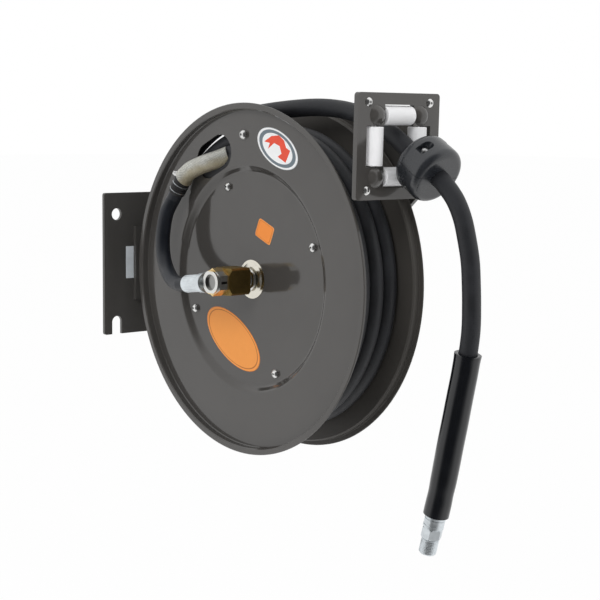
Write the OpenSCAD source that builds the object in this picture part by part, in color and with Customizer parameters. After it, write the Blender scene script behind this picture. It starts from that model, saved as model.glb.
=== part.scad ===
// Wall-mounted spring-rewind fire hose reel.
// The origin is the centre of the base plate's wall face. +Y goes into the wall, +Z is up,
// and the axle runs along X. The drum's middle plane is x = 0 and the hose leaves towards -Y.

/* [Base plate] */
// Width of the wall plate
plate_w = 148; // [140:1:170]
// Height of the wall plate
plate_h = 176; // [160:1:200]
// Thickness of the wall plate
plate_t = 4; // [3:0.5:6]
// Diameter of the two upper wall holes and width of the two lower slots
wall_hole_d = 14.5; // [12:0.5:16]
// Distance between the left and right wall fixings
wall_hole_pitch = 111; // [100:1:116]
// Height of the upper wall holes above the plate's centre
wall_hole_up = 61.5; // [50:0.5:70]
// Height of the round top of the open lower slots below the plate's centre
wall_slot_down = 65.5; // [55:0.5:75]

/* [Drum] */
// Distance from the wall face to the back of the discs
wall_gap = 36; // [30:1:60]
// Height of the axle above the plate's centre
axle_up = -2; // [-10:1:10]
// Diameter over the rims of the two side discs
disc_d = 400; // [380:2:420]
// Distance over the outer faces of the two rims
drum_w = 90; // [88:0.5:92]
// Distance over the outer faces of the two flat rings
face_w = 72; // [70:0.5:74]
// Thickness of the disc sheet
sheet = 1.5; // [1.2:0.1:2]
// Width of the turned-out rim
rim_w = 7.4; // [6:0.2:9]
// Outer radius of the pressed dish
dish_r = 131; // [128:1:134]
// Depth of the pressed dish below the flat ring
dish_depth = 6; // [4:0.5:8]
// Distance from the dish's edge in to the circle of disc screws
screw_inset = 18.5; // [17:0.5:23]
// Distance from the dish's edge in to the drum core
core_inset = 11.5; // [11:0.5:14]

/* [Hose] */
// Outer diameter of the main hose
hose_d = 19.6; // [19:0.1:20]
// Radius of the centre line of the outermost layer on the drum
layer_r = 165; // [163:0.5:165]
// Side to side distance of the turns on the drum
lane_pitch = 20.4; // [20.2:0.1:20.6]
// Turns in the outermost layer
turns = 3; // [3]
// Outer diameter of the short hose between the drum and the swivel
jumper_d = 17; // [16:0.5:18]
// Outer diameter of the braided sleeve through the disc
braid_d = 21; // [20:0.5:22]
// Outer diameter of the sleeve at the hose end
end_sleeve_d = 28; // [26:0.5:29]

/* [Hose guide] */
// Width of the guide plate
guide_w = 120; // [110:1:126]
// Height of the guide plate
guide_h = 111; // [100:1:115]
// Thickness of the front guide plate
guide_t = 3.5; // [3:0.5:5]
// Distance from the front of the discs to the guide plate's face
guide_gap = 2; // [1:0.5:8]
// Height of the guide's centre above the axle
guide_up = 154.4; // [150:1:160]
// Forward lean of the guide plate in degrees
guide_lean = 1.2; // [0:0.1:5]
// Diameter of the guide rollers
roller_d = 20.4; // [18:0.2:21]
// Length of the guide rollers
roller_len = 40.6; // [39:0.2:42]
// Distance of each roller's axis from the guide's centre
roller_off = 32; // [31.5:0.5:33]
// Diameter of the roller pins
pin_d = 4.4; // [4:0.1:5]

/* [Hose stop] */
// Diameter of the stop
stop_d = 64; // [60:0.2:68]
// Length of the stop along the hose
stop_len = 40; // [38:1:46]
// Rounding of the stop's edge towards the guide
stop_round = 12; // [8:1:14]
// Rounding of the stop's edge towards the hose end
stop_front_round = 8; // [5:1:12]
// Half of the seam between the stop's halves
stop_seam = 0.2; // [0.1:0.1:1]

/* [Arms and axle] */
// Inner face of the support arm, measured from the drum's middle plane
arm_x = 50; // [48:1:52]
// Thickness of the support arm and of the guide arm
arm_t = 5; // [4:0.5:6]
// Diameter of the fixed axle in the bearings
axle_d = 25; // [24:0.5:26]
// Diameter of the axle's water passage
axle_bore_d = 13; // [10:0.5:14]
// Diameter of the axle end in the swivel
stub_d = 21; // [20:0.5:22]
// Radial running clearance
run = 0.05; // [0.03:0.01:0.08]

/* [Hidden] */
$fn = 96;
tube_sides = 10;

axle_out = disc_d / 2 + wall_gap;
guide_out = disc_d / 2 + guide_gap;
hose_r = hose_d / 2;
face_h = face_w / 2;
floor_h = face_h - dish_depth;
rim_h = drum_w / 2;
inner_h = floor_h - sheet;
lip_r = disc_d / 2 - rim_w;
disc_screw_r = dish_r - screw_inset;
core_r = dish_r - core_inset;
// The outer turns lie on the ones below with this gap
layer_gap = 1.7;
core_top = layer_r - hose_r - layer_gap;
disc_screw_angles = [22.5, 112.5, 202.5, 292.5];
hub_hole_r = 15.5;

// Route points are in the axle's frame, where the axle is y = 0, z = 0.
// The next layer of hose lies round the back of the drum, then leaves for the guide.
next_layer_r = layer_r + 22;
lead_arc = [for (a = [230:-10:100]) [-20, -next_layer_r * cos(a), next_layer_r * sin(a)]];
// Where the hose meets the stop, and its fall from there
stop_at = [9, -guide_out - 34, guide_up - 21.4];
free_points = [for (p = [
    [0, 0], [-22, -14], [-39, -31], [-50, -50], [-57, -72], [-62, -94], [-64, -117], [-65, -138],
    [-64.9, -163], [-61.6, -188], [-57, -211], [-51.2, -236], [-45.4, -262], [-40, -285],
    [-35, -308], [-30, -330], [-25.2, -349], [-21.4, -363]]) stop_at + [0, p[0], p[1]]];
// Between the drum and the stop: x, the share of the guide's distance, and the height over its centre
lead_points = concat(lead_arc, [[-15, 0, next_layer_r + 2]], [for (p = [
    [-12, 0.139, 37.6], [-9, 0.267, 39.6], [-5, 0.391, 40.6], [-1, 0.505, 39.6], [2, 0.614, 36.6],
    [4, 0.723, 30.6], [6, 0.817, 22.6], [7.5, 0.901, 13.6], [8.5, 0.98, 3.6]])
    [p[0], -p[1] * guide_out, guide_up + p[2]]], [stop_at + [0, 22, 14], stop_at]);
end_sleeve_first = 9;
jumper_points = [
    [-84, 52.2, -6.4], [-84, 63.5, -7.8], [-78, 85.5, -5.9], [-69, 108, 2.4], [-64.5, 121.5, 15.3],
    [-61.5, 128.4, 31.7], [-59.5, 129.5, 50.4], [-57.5, 125.7, 71], [-53, 119, 87], [-51, 107, 105]];
braid_points = [
    [-51, 107, 105], [-50, 101, 114], [-48, 93, 121], [-45.5, 82, 126], [-41, 69, 131], [-35.5, 58.4, 134.8],
    [-31.3, 52, 137.8], [-27.1, 45.6, 140.8]];
outlet_dip = 7;

/* Frames of reference */
module at_axle() translate([0, -axle_out, axle_up]) children();
// Turns a shape drawn about +Z so that +Z points to -X; x is then up
module along_axle() at_axle() rotate([0, -90, 0]) children();
module at_guide() at_axle() translate([0, -guide_out, guide_up]) rotate([guide_lean, 0, 0]) children();
stop_dir = free_points[1] - free_points[0];
stop_dip = atan2(-stop_dir[2], -stop_dir[1]);
// +X of the stop's frame runs along the hose towards its free end, +Z is the upper side
module at_stop() at_axle() translate(stop_at) rotate([0, 0, -90]) rotate([0, stop_dip, 0]) children();
end_at = free_points[len(free_points) - 1];
end_dir = end_at - free_points[len(free_points) - 2];
// +Z of the end's frame runs down along the hose's axis
module at_end() at_axle() translate(end_at) rotate([180 + atan2(end_dir[1], -end_dir[2]), 0, 0]) children();
// A place on a drum circle, at an angle counted from the front over the top
module on_circle(r, angle) rotate([0, 0, angle - 90]) translate([r, 0, 0]) children();
module tube(r_out, r_in, h) difference() {
    cylinder(r = r_out, h = h);
    translate([0, 0, -1]) cylinder(r = r_in, h = h + 2);
}

/* Smooth curves and swept tubes */
function unit(v) = v / norm(v);
function curve_at(p, u) =
    let (i = min(floor(u), len(p) - 2), t = u - i,
         a = p[max(i - 1, 0)], b = p[i], c = p[i + 1], d = p[min(i + 2, len(p) - 1)])
    0.5 * (2 * b + (c - a) * t + (2 * a - 5 * b + 4 * c - d) * t * t
           + (3 * b - a - 3 * c + d) * t * t * t);
function curve(p, n) = [for (k = [0:(len(p) - 1) * n]) curve_at(p, k / n)];
// A curve whose first and last stretches are straight
function route(p, n) = concat([p[0]], curve([for (i = [1:len(p) - 2]) p[i]], n), [p[len(p) - 1]]);
function heading(p, i) = unit(p[min(i + 1, len(p) - 1)] - p[max(i - 1, 0)]);
function sides_of(p, first) =
    [for (i = 0, s = first; i < len(p); i = i + 1,
          s = i < len(p) ? unit(s - heading(p, i) * (s * heading(p, i))) : s) s];
function ring(c, t, s, r, n) =
    let (f = unit(s - t * (s * t)), w = cross(t, f))
    [for (k = [0:n - 1]) c + r * (cos(360 * k / n) * f + sin(360 * k / n) * w)];
function rings(p, s, r, n) = [for (i = [0:len(p) - 1]) each ring(p[i], heading(p, i), s[i], r, n)];
function wall(m, n, base, out) =
    [for (i = [0:m - 2]) for (k = [0:n - 1])
        let (a = base + i * n + k, b = base + i * n + (k + 1) % n, c = a + n, d = b + n)
        each out ? [[a, c, d], [a, d, b]] : [[a, d, c], [a, b, d]]];
// Solid round tube along the points p
module sweep(p, r, first = [1, 0, 0], n = tube_sides) {
    s = sides_of(p, first);
    m = len(p);
    polyhedron(rings(p, s, r, n),
        concat([[for (k = [0:n - 1]) k]], [[for (k = [n - 1:-1:0]) (m - 1) * n + k]], wall(m, n, 0, true)));
}
// Round tube with a bore along the points p
module sweep_hollow(p, r_out, r_in, first = [1, 0, 0], n = tube_sides) {
    s = sides_of(p, first);
    m = len(p);
    inner = m * n;
    last = (m - 1) * n;
    start_ring = [for (k = [0:n - 1]) let (j = (k + 1) % n)
        each [[k, j, inner + j], [k, inner + j, inner + k]]];
    end_ring = [for (k = [0:n - 1]) let (j = (k + 1) % n)
        each [[last + k, inner + last + j, last + j], [last + k, inner + last + k, inner + last + j]]];
    polyhedron(concat(rings(p, s, r_out, n), rings(p, s, r_in, n)),
        concat(wall(m, n, 0, true), wall(m, n, inner, false), start_ring, end_ring));
}

/* Wall side */
module rounded_rect(w, h, r) {
    square([w - 2 * r, h], center = true);
    square([w, h - 2 * r], center = true);
    for (x = [-1, 1]) for (z = [-1, 1]) translate([x * (w / 2 - r), z * (h / 2 - r)]) circle(r = r);
}
// Lays a shape drawn in X and Y upright, its thickness going towards -Y from the given y
module upright(y, t) translate([0, y, 0]) rotate([90, 0, 0]) linear_extrude(height = t) children();

foot_h = 92;
foot_from = -30;
arm_half = 48;
rivet_xz = [for (x = [-15, 30]) for (z = [-1, 1]) [x, z * (foot_h / 2 - 10)]];

module base_plate() color([0.24, 0.23, 0.21]) upright(0, plate_t) difference() {
    rounded_rect(plate_w, plate_h, 3);
    for (s = [-1, 1]) {
        translate([s * wall_hole_pitch / 2, wall_hole_up]) circle(d = wall_hole_d);
        translate([s * wall_hole_pitch / 2, -wall_slot_down - wall_hole_d / 2]) {
            circle(d = wall_hole_d);
            translate([-wall_hole_d / 2, -plate_h]) square([wall_hole_d, plate_h]);
        }
    }
    for (p = rivet_xz) translate(p) circle(d = 8);
}

// Side view of the support arm, drawn in Y and Z of the part's frame
module arm_side() {
    polygon([[-plate_t, -foot_h / 2], [-plate_t, foot_h / 2], [-axle_out, axle_up + arm_half],
             [-axle_out, axle_up - arm_half]]);
    translate([-axle_out, axle_up]) circle(r = arm_half);
}
module lengthwise(x, t) translate([x, 0, 0]) rotate([90, 0, 90]) linear_extrude(height = t) children();
arm_bolt_r = 34;
arm_bolt_angles = [30, 210];
pawl_at = [78, 20];

module support_arm() color([0.24, 0.23, 0.21]) difference() {
    union() {
        lengthwise(arm_x, arm_t) arm_side();
        translate([foot_from, -plate_t - arm_t, -foot_h / 2]) cube([arm_x - foot_from + 1, arm_t, foot_h]);
        for (s = [-1, 1]) translate([arm_x, -plate_t, s * (foot_h / 2 - 1.5)])
            rotate([-s * atan2(foot_h / 2 - arm_half - s * axle_up, axle_out - plate_t), 0, 0])
            translate([0, -150, -1.5]) cube([20, 150, 3]);
    }
    translate([0, -plate_t, -foot_h]) cube([100, 20, 2 * foot_h]);
    along_axle() translate([0, 0, -100]) cylinder(r = axle_d / 2 + run, h = 90);
    for (a = arm_bolt_angles)
        along_axle() on_circle(arm_bolt_r, a) translate([0, 0, -100]) cylinder(d = 6.6, h = 90);
    for (p = rivet_xz) translate([p[0], 0, p[1]]) rotate([90, 0, 0]) cylinder(d = 8, h = 20);
    at_axle() translate([arm_x - 1, pawl_at[0], pawl_at[1]]) rotate([0, 90, 0]) cylinder(d = 8, h = arm_t + 2);
}
module foot_rivets() color([0.6, 0.6, 0.62])
for (p = rivet_xz) translate([p[0], 0, p[1]]) rotate([90, 0, 0]) {
    cylinder(d = 8, h = plate_t + arm_t);
    translate([0, 0, plate_t + arm_t]) intersection() {
        translate([0, 0, -7]) sphere(r = 9.9);
        cylinder(d = 20, h = 10);
    }
}
tag_w = 11.4;
tag_h = 40;
tag_t = 0.5;
module maker_tag() color([0.72, 0.75, 0.77]) translate([-36, 0, 1]) upright(-plate_t, tag_t)
    square([tag_w, tag_h], center = true);

/* Hose guide */
flange_t = 2.5;
window_half = roller_off + roller_d / 2 + 1;
// The side bays reach further out than the upper and lower ones
side_half = window_half + 3.6;
bay_half = roller_len / 2 + 1;
guide_screw_x = 45;
guide_screw_z = 45.5;
module cross_window() {
    square([2 * bay_half, 2 * window_half], center = true);
    square([2 * side_half, 2 * bay_half], center = true);
}
module guide_screw_places() for (x = [-1, 1]) for (z = [-1, 1])
    translate([x * guide_screw_x, 0, z * guide_screw_z]) children();
roller_in = 5;
ear_r = 9.6;
// The ears' pressed fronts are shallow domes
ear_dome = 13;
ear_sunk = 7;
ear_back = roller_in + 4;
module ear_places()
    for (x = [-1, 1]) for (z = [-1, 1]) translate([x * roller_off, 0, z * roller_off]) children();
module pin_holes(extra) {
    for (s = [-1, 1]) {
        translate([s * roller_off, roller_in, -roller_off + 4 - extra])
            cylinder(d = pin_d + extra / 5, h = 2 * roller_off - 8 + 2 * extra);
        translate([-roller_off + 4 - extra, roller_in, s * roller_off]) rotate([0, 90, 0])
            cylinder(d = pin_d + extra / 5, h = 2 * roller_off - 8 + 2 * extra);
    }
}
module guide_plate() color([0.33, 0.32, 0.30]) at_guide() difference() {
    union() {
        translate([0, guide_t, 0]) upright(0, guide_t) difference() {
            rounded_rect(guide_w, guide_h, 4);
            cross_window();
        }
        ear_places() rotate([90, 0, 0]) {
            intersection() {
                translate([0, 0, -ear_sunk]) sphere(r = ear_dome);
                cylinder(r = ear_dome, h = ear_dome);
            }
            translate([0, 0, -ear_back]) cylinder(r = ear_r, h = ear_back + 0.5);
        }
    }
    pin_holes(0.2);
    guide_screw_places() translate([0, guide_t + 1, 0]) rotate([90, 0, 0]) cylinder(d = 5.4, h = 10);
}
module roller_pins() color([0.8, 0.8, 0.8]) at_guide() pin_holes(0);
module roller() color([0.93, 0.93, 0.93]) rotate_extrude() difference() {
    translate([0, -roller_len / 2]) union() {
        square([roller_d / 2 - 1, roller_len]);
        translate([0, 1]) square([roller_d / 2, roller_len - 2]);
        for (z = [1, roller_len - 1]) translate([roller_d / 2 - 1, z]) circle(r = 1, $fn = 24);
    }
    translate([-20, -roller_len]) square([20 + pin_d / 2 + run, 2 * roller_len]);
}
module roller_left() at_guide() translate([-roller_off, roller_in, 0]) roller();
module roller_right() at_guide() translate([roller_off, roller_in, 0]) roller();
module roller_top() at_guide() translate([0, roller_in, roller_off]) rotate([0, 90, 0]) roller();
module roller_bottom() at_guide() translate([0, roller_in, -roller_off]) rotate([0, 90, 0]) roller();

guide_arm_x = arm_x + arm_t;
arm_end_r = 42;
flange_at = guide_t - guide_out;
module guide_arm() color([0.24, 0.23, 0.21]) difference() {
    union() {
        at_axle() lengthwise(guide_arm_x, arm_t) {
            circle(r = arm_end_r);
            polygon([[8, 41], [-guide_out / 2, guide_up + 18], [-guide_out / 2 - 22, guide_up + 33],
                     [flange_at + 1, guide_up + 38], [flange_at + 3, guide_up - 39.4], [-29, -31]]);
        }
        at_guide() translate([0, guide_t + flange_t, 0]) upright(0, flange_t)
            rounded_rect(guide_w, guide_h, 4);
    }
    at_guide() translate([0, 40, 0]) upright(0, 60) {
        cross_window();
        square(2 * roller_off + pin_d + 1, center = true);
        for (x = [-1, 1]) for (z = [-1, 1]) translate([x * roller_off, z * roller_off]) circle(r = ear_r + 0.3);
    }
    at_guide() guide_screw_places() translate([0, 20, 0]) rotate([90, 0, 0]) cylinder(d = 5.4, h = 30);
    along_axle() translate([0, 0, -100]) cylinder(r = axle_d / 2 + run, h = 90);
    for (a = arm_bolt_angles)
        along_axle() on_circle(arm_bolt_r, a) translate([0, 0, -100]) cylinder(d = 6.6, h = 90);
}
// Button-head screw along +Z, its head on top of z = 0
module button_head(d, head_d, head_h) difference() {
    intersection() {
        cylinder(d = head_d, h = head_h);
        translate([0, 0, head_h - head_d * 0.62]) sphere(r = head_d * 0.62);
    }
    translate([0, 0, head_h - 1.4]) cylinder(d = d * 0.6, h = 3, $fn = 6);
}
module guide_screws() color([0.85, 0.85, 0.86]) at_guide() guide_screw_places() rotate([90, 0, 0]) {
    button_head(5, 9.5, 3);
    translate([0, 0, -guide_t - flange_t - 7]) cylinder(d = 5, h = guide_t + flange_t + 7);
    translate([0, 0, -guide_t - flange_t - 4]) cylinder(d = 9.2, h = 4, $fn = 6);
}
module arm_bolts() color([0.8, 0.8, 0.8]) for (a = arm_bolt_angles) along_axle() on_circle(arm_bolt_r, a) {
    outer = guide_arm_x + arm_t;
    translate([0, 0, -outer - 4]) cylinder(d = 11.5, h = 4, $fn = 6);
    translate([0, 0, -outer]) cylinder(d = 6.6, h = outer - arm_x);
}

/* Axle and inlet */
axle_near = -31;
stub_end = -67;
collar_from = 43;
washer_t = 2.5;
nut_t = 10;
outer_face = guide_arm_x + arm_t;
thread_d = 20.9;
axle_far = outer_face + washer_t + nut_t + 22;
seal_x = [-53, -61];
module at_x(x) along_axle() translate([0, 0, -x]) children();
module axle() color([0.78, 0.78, 0.79]) difference() {
    union() {
        at_x(arm_x) cylinder(d = axle_d + 12, h = arm_x - collar_from);
        at_x(outer_face + washer_t + nut_t)
            cylinder(d = axle_d, h = outer_face + washer_t + nut_t - axle_near);
        at_x(axle_near) cylinder(d = stub_d, h = axle_near - stub_end);
        at_x(axle_far) cylinder(d = thread_d, h = axle_far - outer_face - washer_t - nut_t);
    }
    at_x(axle_far + 1) cylinder(d = axle_bore_d, h = 300);
    for (x = seal_x) at_x(x) translate([0, 0, -1.2]) tube(stub_d, stub_d / 2 - 2, 2.4);
}
module swivel_seals() color([0.08, 0.08, 0.08]) for (x = seal_x) at_x(x) translate([0, 0, -1.2])
    tube(stub_d / 2, stub_d / 2 - 2, 2.4);
module axle_washer() color([0.8, 0.8, 0.8]) at_x(outer_face + washer_t) tube(23, axle_d / 2, washer_t);
module axle_nut() color([0.8, 0.8, 0.8]) at_x(outer_face + washer_t + nut_t) difference() {
    cylinder(d = 41.5, h = nut_t, $fn = 6);
    translate([0, 0, -1]) cylinder(d = axle_d, h = nut_t + 2);
}
inlet_from = outer_face + washer_t + nut_t + 2;
inlet_end = inlet_from + 30;
inlet_thread_d = 18.6;
module inlet_fitting() color([0.72, 0.6, 0.33]) difference() {
    union() {
        at_x(inlet_from + 16) cylinder(d = 33.5, h = 16, $fn = 6);
        at_x(inlet_end) cylinder(d = 27, h = 14);
    }
    at_x(axle_far) cylinder(d = thread_d, h = axle_far - inlet_from + 1);
    at_x(inlet_end + 1) cylinder(d = axle_bore_d, h = 40);
    at_x(inlet_end + 1) cylinder(d = inlet_thread_d, h = 10);
}
module inlet_seal() color([0.1, 0.1, 0.1]) at_x(inlet_from) tube(15, axle_d / 2 - 2.05, 2);
arbor_w = 24;
arbor_r = 22;
module spring_arbor() color([0.55, 0.55, 0.57]) at_x(arbor_w / 2) tube(arbor_r, axle_d / 2, arbor_w);
case_r = disc_screw_r - 13;
case_t = 2.5;
module spring_case() color([0.35, 0.34, 0.33]) at_x(inner_h) tube(case_r, case_r - case_t, 2 * inner_h);
spring_out = case_r - case_t - 0.3;
spring_pack = 62;
spring_in = arbor_r + 0.3;
spring_w = 22;
leaf = 1.6;
function leaf_at(k, out) = let (r = spring_in + (spring_pack - spring_in + 1) * k / 72 + out, a = 7.5 * k)
    [r * cos(a), r * sin(a)];
module power_spring() color([0.35, 0.37, 0.42]) at_x(spring_w / 2) {
    tube(spring_out, spring_pack, spring_w);
    linear_extrude(height = spring_w) polygon(concat([for (k = [0:72]) leaf_at(k, 0)],
        [for (k = [72:-1:0]) leaf_at(k, leaf)]));
}

/* Drum */
// Half of the pressed step between the dish's floor and the flat ring
step_n = 6;
function step_line(r, h) = [for (k = [0:step_n])
    [r - 10 + 10 * k / step_n, h - dish_depth * (1 + cos(180 * k / step_n)) / 2]];
function reversed(v) = [for (k = [len(v) - 1:-1:0]) v[k]];
bead = 1.8;
module disc_profile() polygon(concat(
    [[hub_hole_r, floor_h]],
    step_line(dish_r, face_h),
    [[lip_r - 1, face_h], [lip_r, face_h + 1], [lip_r, rim_h - 1.2], [lip_r + 1.2, rim_h],
     [disc_d / 2 - 0.7, rim_h], [disc_d / 2, rim_h - 0.7], [disc_d / 2, rim_h - bead + 0.7],
     [disc_d / 2 - 0.7, rim_h - bead], [lip_r + sheet + 0.7, rim_h - bead],
     [lip_r + sheet, rim_h - bead - 0.7], [lip_r + sheet, face_h], [lip_r, face_h - sheet]],
    reversed(step_line(dish_r, face_h - sheet)),
    [[hub_hole_r, floor_h - sheet]]));
slot_angle = 114.6;
slot_r = dish_r + 21;
slot_half = 12.3;
slot_end_r = 20.5;
bolt_angle = 92.8;
// Clear of the turns below
bolt_r = core_top + 10.9;
module disc() difference() {
    rotate_extrude($fn = 180) disc_profile();
    for (a = disc_screw_angles)
        on_circle(disc_screw_r, a) translate([0, 0, floor_h - 5]) cylinder(d = 5.2, h = 10);
}
module near_disc() color([0.38, 0.37, 0.35]) along_axle() difference() {
    disc();
    on_circle(slot_r, slot_angle) translate([0, 0, face_h - 5]) {
        for (s = [-1, 1]) translate([0, s * slot_half, 0]) cylinder(r = slot_end_r, h = 10);
        translate([-slot_end_r, -slot_half, 0]) cube([2 * slot_end_r, 2 * slot_half, 10]);
    }
    on_circle(bolt_r, bolt_angle) translate([0, 0, face_h - 5]) cylinder(d = 6.2, h = 10);
}
module far_disc() color([0.27, 0.26, 0.24]) at_axle() mirror([1, 0, 0]) rotate([0, -90, 0]) difference() {
    disc();
    for (a = wheel_bolt_angles)
        on_circle(wheel_bolt_r, a) translate([0, 0, floor_h - 5]) cylinder(d = 5.2, h = 10);
}
module drum_core() color([0.3, 0.3, 0.3]) along_axle() difference() {
    rotate_extrude() {
        translate([core_r - 2, -inner_h]) square([2, 2 * inner_h]);
        for (z = [-inner_h, inner_h - 2]) translate([case_r + 2.5, z]) square([core_r - case_r - 3.5, 2]);
    }
    for (a = disc_screw_angles)
        on_circle(disc_screw_r, a) translate([0, 0, -50]) cylinder(d = 5.2, h = 100);
}
module both_sides() for (m = [0, 1]) at_axle() mirror([m, 0, 0]) rotate([0, -90, 0]) children();
module disc_screws() color([0.85, 0.85, 0.86]) both_sides()
    for (a = disc_screw_angles) on_circle(disc_screw_r, a) translate([0, 0, floor_h]) {
        button_head(5, 9.6, 4.8);
        translate([0, 0, -13]) cylinder(d = 5.2, h = 13);
    }
module disc_nuts() color([0.7, 0.7, 0.7]) both_sides()
    for (a = disc_screw_angles) on_circle(disc_screw_r, a) translate([0, 0, inner_h - 6]) difference() {
        cylinder(d = 9.2, h = 4, $fn = 6);
        translate([0, 0, -1]) cylinder(d = 5.2, h = 6);
    }
module annulus_bolt() color([0.85, 0.85, 0.86])
along_axle() on_circle(bolt_r, bolt_angle) translate([0, 0, face_h]) {
    button_head(6, 11, 5.4);
    translate([0, 0, -4]) cylinder(d = 6.2, h = 4);
}
module bearing() color([0.75, 0.73, 0.66]) difference() {
    union() {
        translate([0, 0, inner_h - 2.5]) cylinder(r = 30, h = 2.5);
        translate([0, 0, 14]) cylinder(r = 20, h = inner_h - 14);
        cylinder_to = floor_h - 0.2;
        translate([0, 0, inner_h - 1]) cylinder(r = hub_hole_r, h = cylinder_to - inner_h + 1);
    }
    translate([0, 0, -1]) cylinder(r = axle_d / 2 + run, h = 60);
}
module near_bearing() along_axle() bearing();
module far_bearing() at_axle() mirror([1, 0, 0]) rotate([0, -90, 0]) bearing();
flange_r = 22.2;
module hub_flange() color([0.85, 0.84, 0.82]) along_axle() translate([0, 0, floor_h]) rotate_extrude()
    polygon([[stub_d / 2 + 0.2, 1.6], [flange_r - 4, 0], [flange_r, 0], [flange_r, 1], [flange_r - 3.5, 1.6],
             [stub_d / 2 + 4, 3.4], [stub_d / 2 + 0.2, 3.6]]);

/* Ratchet */
teeth = 12;
wheel_r = 62;
wheel_t = 3.2;
wheel_x = rim_h + 0.9;
boss_r = 37;
boss_in = 30;
boss_foot_r = 48;
boss_foot_t = 2;
// One notch, where the pawl drops into it
notch = [[48, 29.6], [62.5, 19], [52.2, 38.8]];
wheel_bolt_r = 42.5;
wheel_bolt_angles = [0, 120, 240];
module ratchet_wheel() color([0.6, 0.6, 0.62]) at_axle() {
    translate([floor_h, 0, 0]) rotate([0, 90, 0]) {
        tube(boss_foot_r, boss_in, boss_foot_t);
        tube(boss_r, boss_in, wheel_x + wheel_t - floor_h);
    }
    difference() {
        translate([wheel_x, 0, 0]) rotate([0, 90, 0]) tube(wheel_r, boss_in, wheel_t);
        for (k = [0:teeth - 1]) rotate([k * 360 / teeth, 0, 0])
            lengthwise(wheel_x - 1, wheel_t + 2) polygon(notch);
    }
    mirror([1, 0, 0]) rotate([0, -90, 0]) for (a = wheel_bolt_angles) on_circle(wheel_bolt_r, a)
        translate([0, 0, floor_h + boss_foot_t - 0.01]) button_head(5, 9.5, 3);
}
pawl_t = wheel_t;
pawl_x = wheel_x;
pawl_bar = [[73, 12.5], [84, 27], [55, 40.5], [51.8, 36.2]];
pawl_pin_d = 7;
pin_head_x = arm_x + arm_t + 7;
module pawl() color([0.5, 0.5, 0.52]) at_axle() difference() {
    lengthwise(pawl_x, pawl_t) {
        translate(pawl_at) circle(r = 9);
        polygon(pawl_bar);
    }
    translate([pawl_x - 1, pawl_at[0], pawl_at[1]]) rotate([0, 90, 0])
        cylinder(r = pawl_pin_d / 2 + run, h = pawl_t + 2);
}
module pawl_pin() color([0.8, 0.8, 0.8])
at_axle() translate([0, pawl_at[0], pawl_at[1]]) rotate([0, 90, 0]) {
    translate([0, 0, pawl_x - 1.6]) cylinder(d = 11, h = 1.5);
    translate([0, 0, pawl_x - 1]) cylinder(d = pawl_pin_d, h = arm_x - pawl_x + 1);
    translate([0, 0, arm_x]) cylinder(d = 8, h = pin_head_x - arm_x);
    translate([0, 0, pin_head_x]) cylinder(d = 13, h = 2.5);
}
spring_wire = 1.3;
spring_turns = 3;
module pawl_spring() color([0.6, 0.62, 0.66]) at_axle() translate([0, pawl_at[0], pawl_at[1]]) {
    coil_r = 4.8;
    per_turn = 12;
    from_x = arm_x + arm_t + 0.3 + spring_wire / 2;
    pitch = (pin_head_x - 0.3 - spring_wire / 2 - from_x) / spring_turns;
    sweep([for (k = [0:spring_turns * per_turn]) [from_x + pitch * k / per_turn,
        coil_r * cos(360 * k / per_turn), coil_r * sin(360 * k / per_turn)]], spring_wire / 2, n = 6);
}

/* Swivel and jumper hose */
body_from = -45;
body_to = -75;
body_half = 15.2;
elbow_to = -88;
collar_to = -91;
elbow_x = -84;
elbow_hex_d = 31.8;
elbow_collar_d = 26.7;
spigot_d = 13;
spigot_len = 19;
module swivel_body() color([0.45, 0.34, 0.14]) at_axle() difference() {
    intersection() {
        translate([body_to, -body_half, -body_half]) cube([body_from - body_to, 2 * body_half, 2 * body_half]);
        translate([body_from, 0, 0]) rotate([0, -90, 0]) cylinder(r = 20, h = 60);
        translate([body_from, 0, 0]) rotate([0, -90, 0]) rotate_extrude()
            polygon([[0, -1], [18.6, -1], [20.5, 1.5], [20.5, 26], [16.5, 31], [0, 31]]);
    }
    translate([body_from + 1, 0, 0]) rotate([0, -90, 0])
        cylinder(r = stub_d / 2 + run, h = body_from - stub_end + 3);
    translate([body_from + 1, 0, 0]) rotate([0, -90, 0]) cylinder(d = axle_bore_d, h = 60);
}
module outlet_frame()
    at_axle() translate([elbow_x, 0, 0]) rotate([-90 - outlet_dip, 0, 0]) children();
module swivel_elbow() color([0.72, 0.6, 0.33]) difference() {
    union() {
        at_x(body_to) cylinder(d = elbow_hex_d, h = body_to - elbow_to, $fn = 6);
        at_x(elbow_to) cylinder(d = elbow_collar_d, h = elbow_to - collar_to);
        outlet_frame() cylinder(d = spigot_d, h = spigot_len);
    }
    at_x(body_to + 1) cylinder(d = 11, h = 9);
    at_x(collar_to + 3) cylinder(d = 18, h = 5);
    outlet_frame() cylinder(d = 7, h = 30);
}
jumper_from = 52.5;
crimp_d = 20.4;
crimp_from = 16.4;
crimp_collar_d = 23;
crimp_collar = 7.6;
module jumper_ferrule() color([0.82, 0.83, 0.85]) outlet_frame() difference() {
    union() {
        translate([0, 0, crimp_from]) cylinder(d = crimp_collar_d, h = crimp_collar);
        translate([0, 0, crimp_from]) cylinder(d = crimp_d, h = jumper_from - crimp_from);
    }
    translate([0, 0, crimp_from - 1]) cylinder(d = spigot_d + 0.1, h = spigot_len - crimp_from + 1);
    translate([0, 0, crimp_from - 1]) cylinder(d = 9, h = 60);
}
module jumper_hose() color([0.06, 0.065, 0.075]) at_axle() sweep(route(jumper_points, 3), jumper_d / 2);
braid_line = route(braid_points, 3);
module braided_sleeve() color([0.8, 0.8, 0.76]) at_axle() sweep(braid_line, braid_d / 2);
module toward(from, to) {
    v = to - from;
    translate(from) rotate([0, acos(v[2] / norm(v)), atan2(v[1], v[0])]) children();
}
clamp_len = 12;
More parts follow.
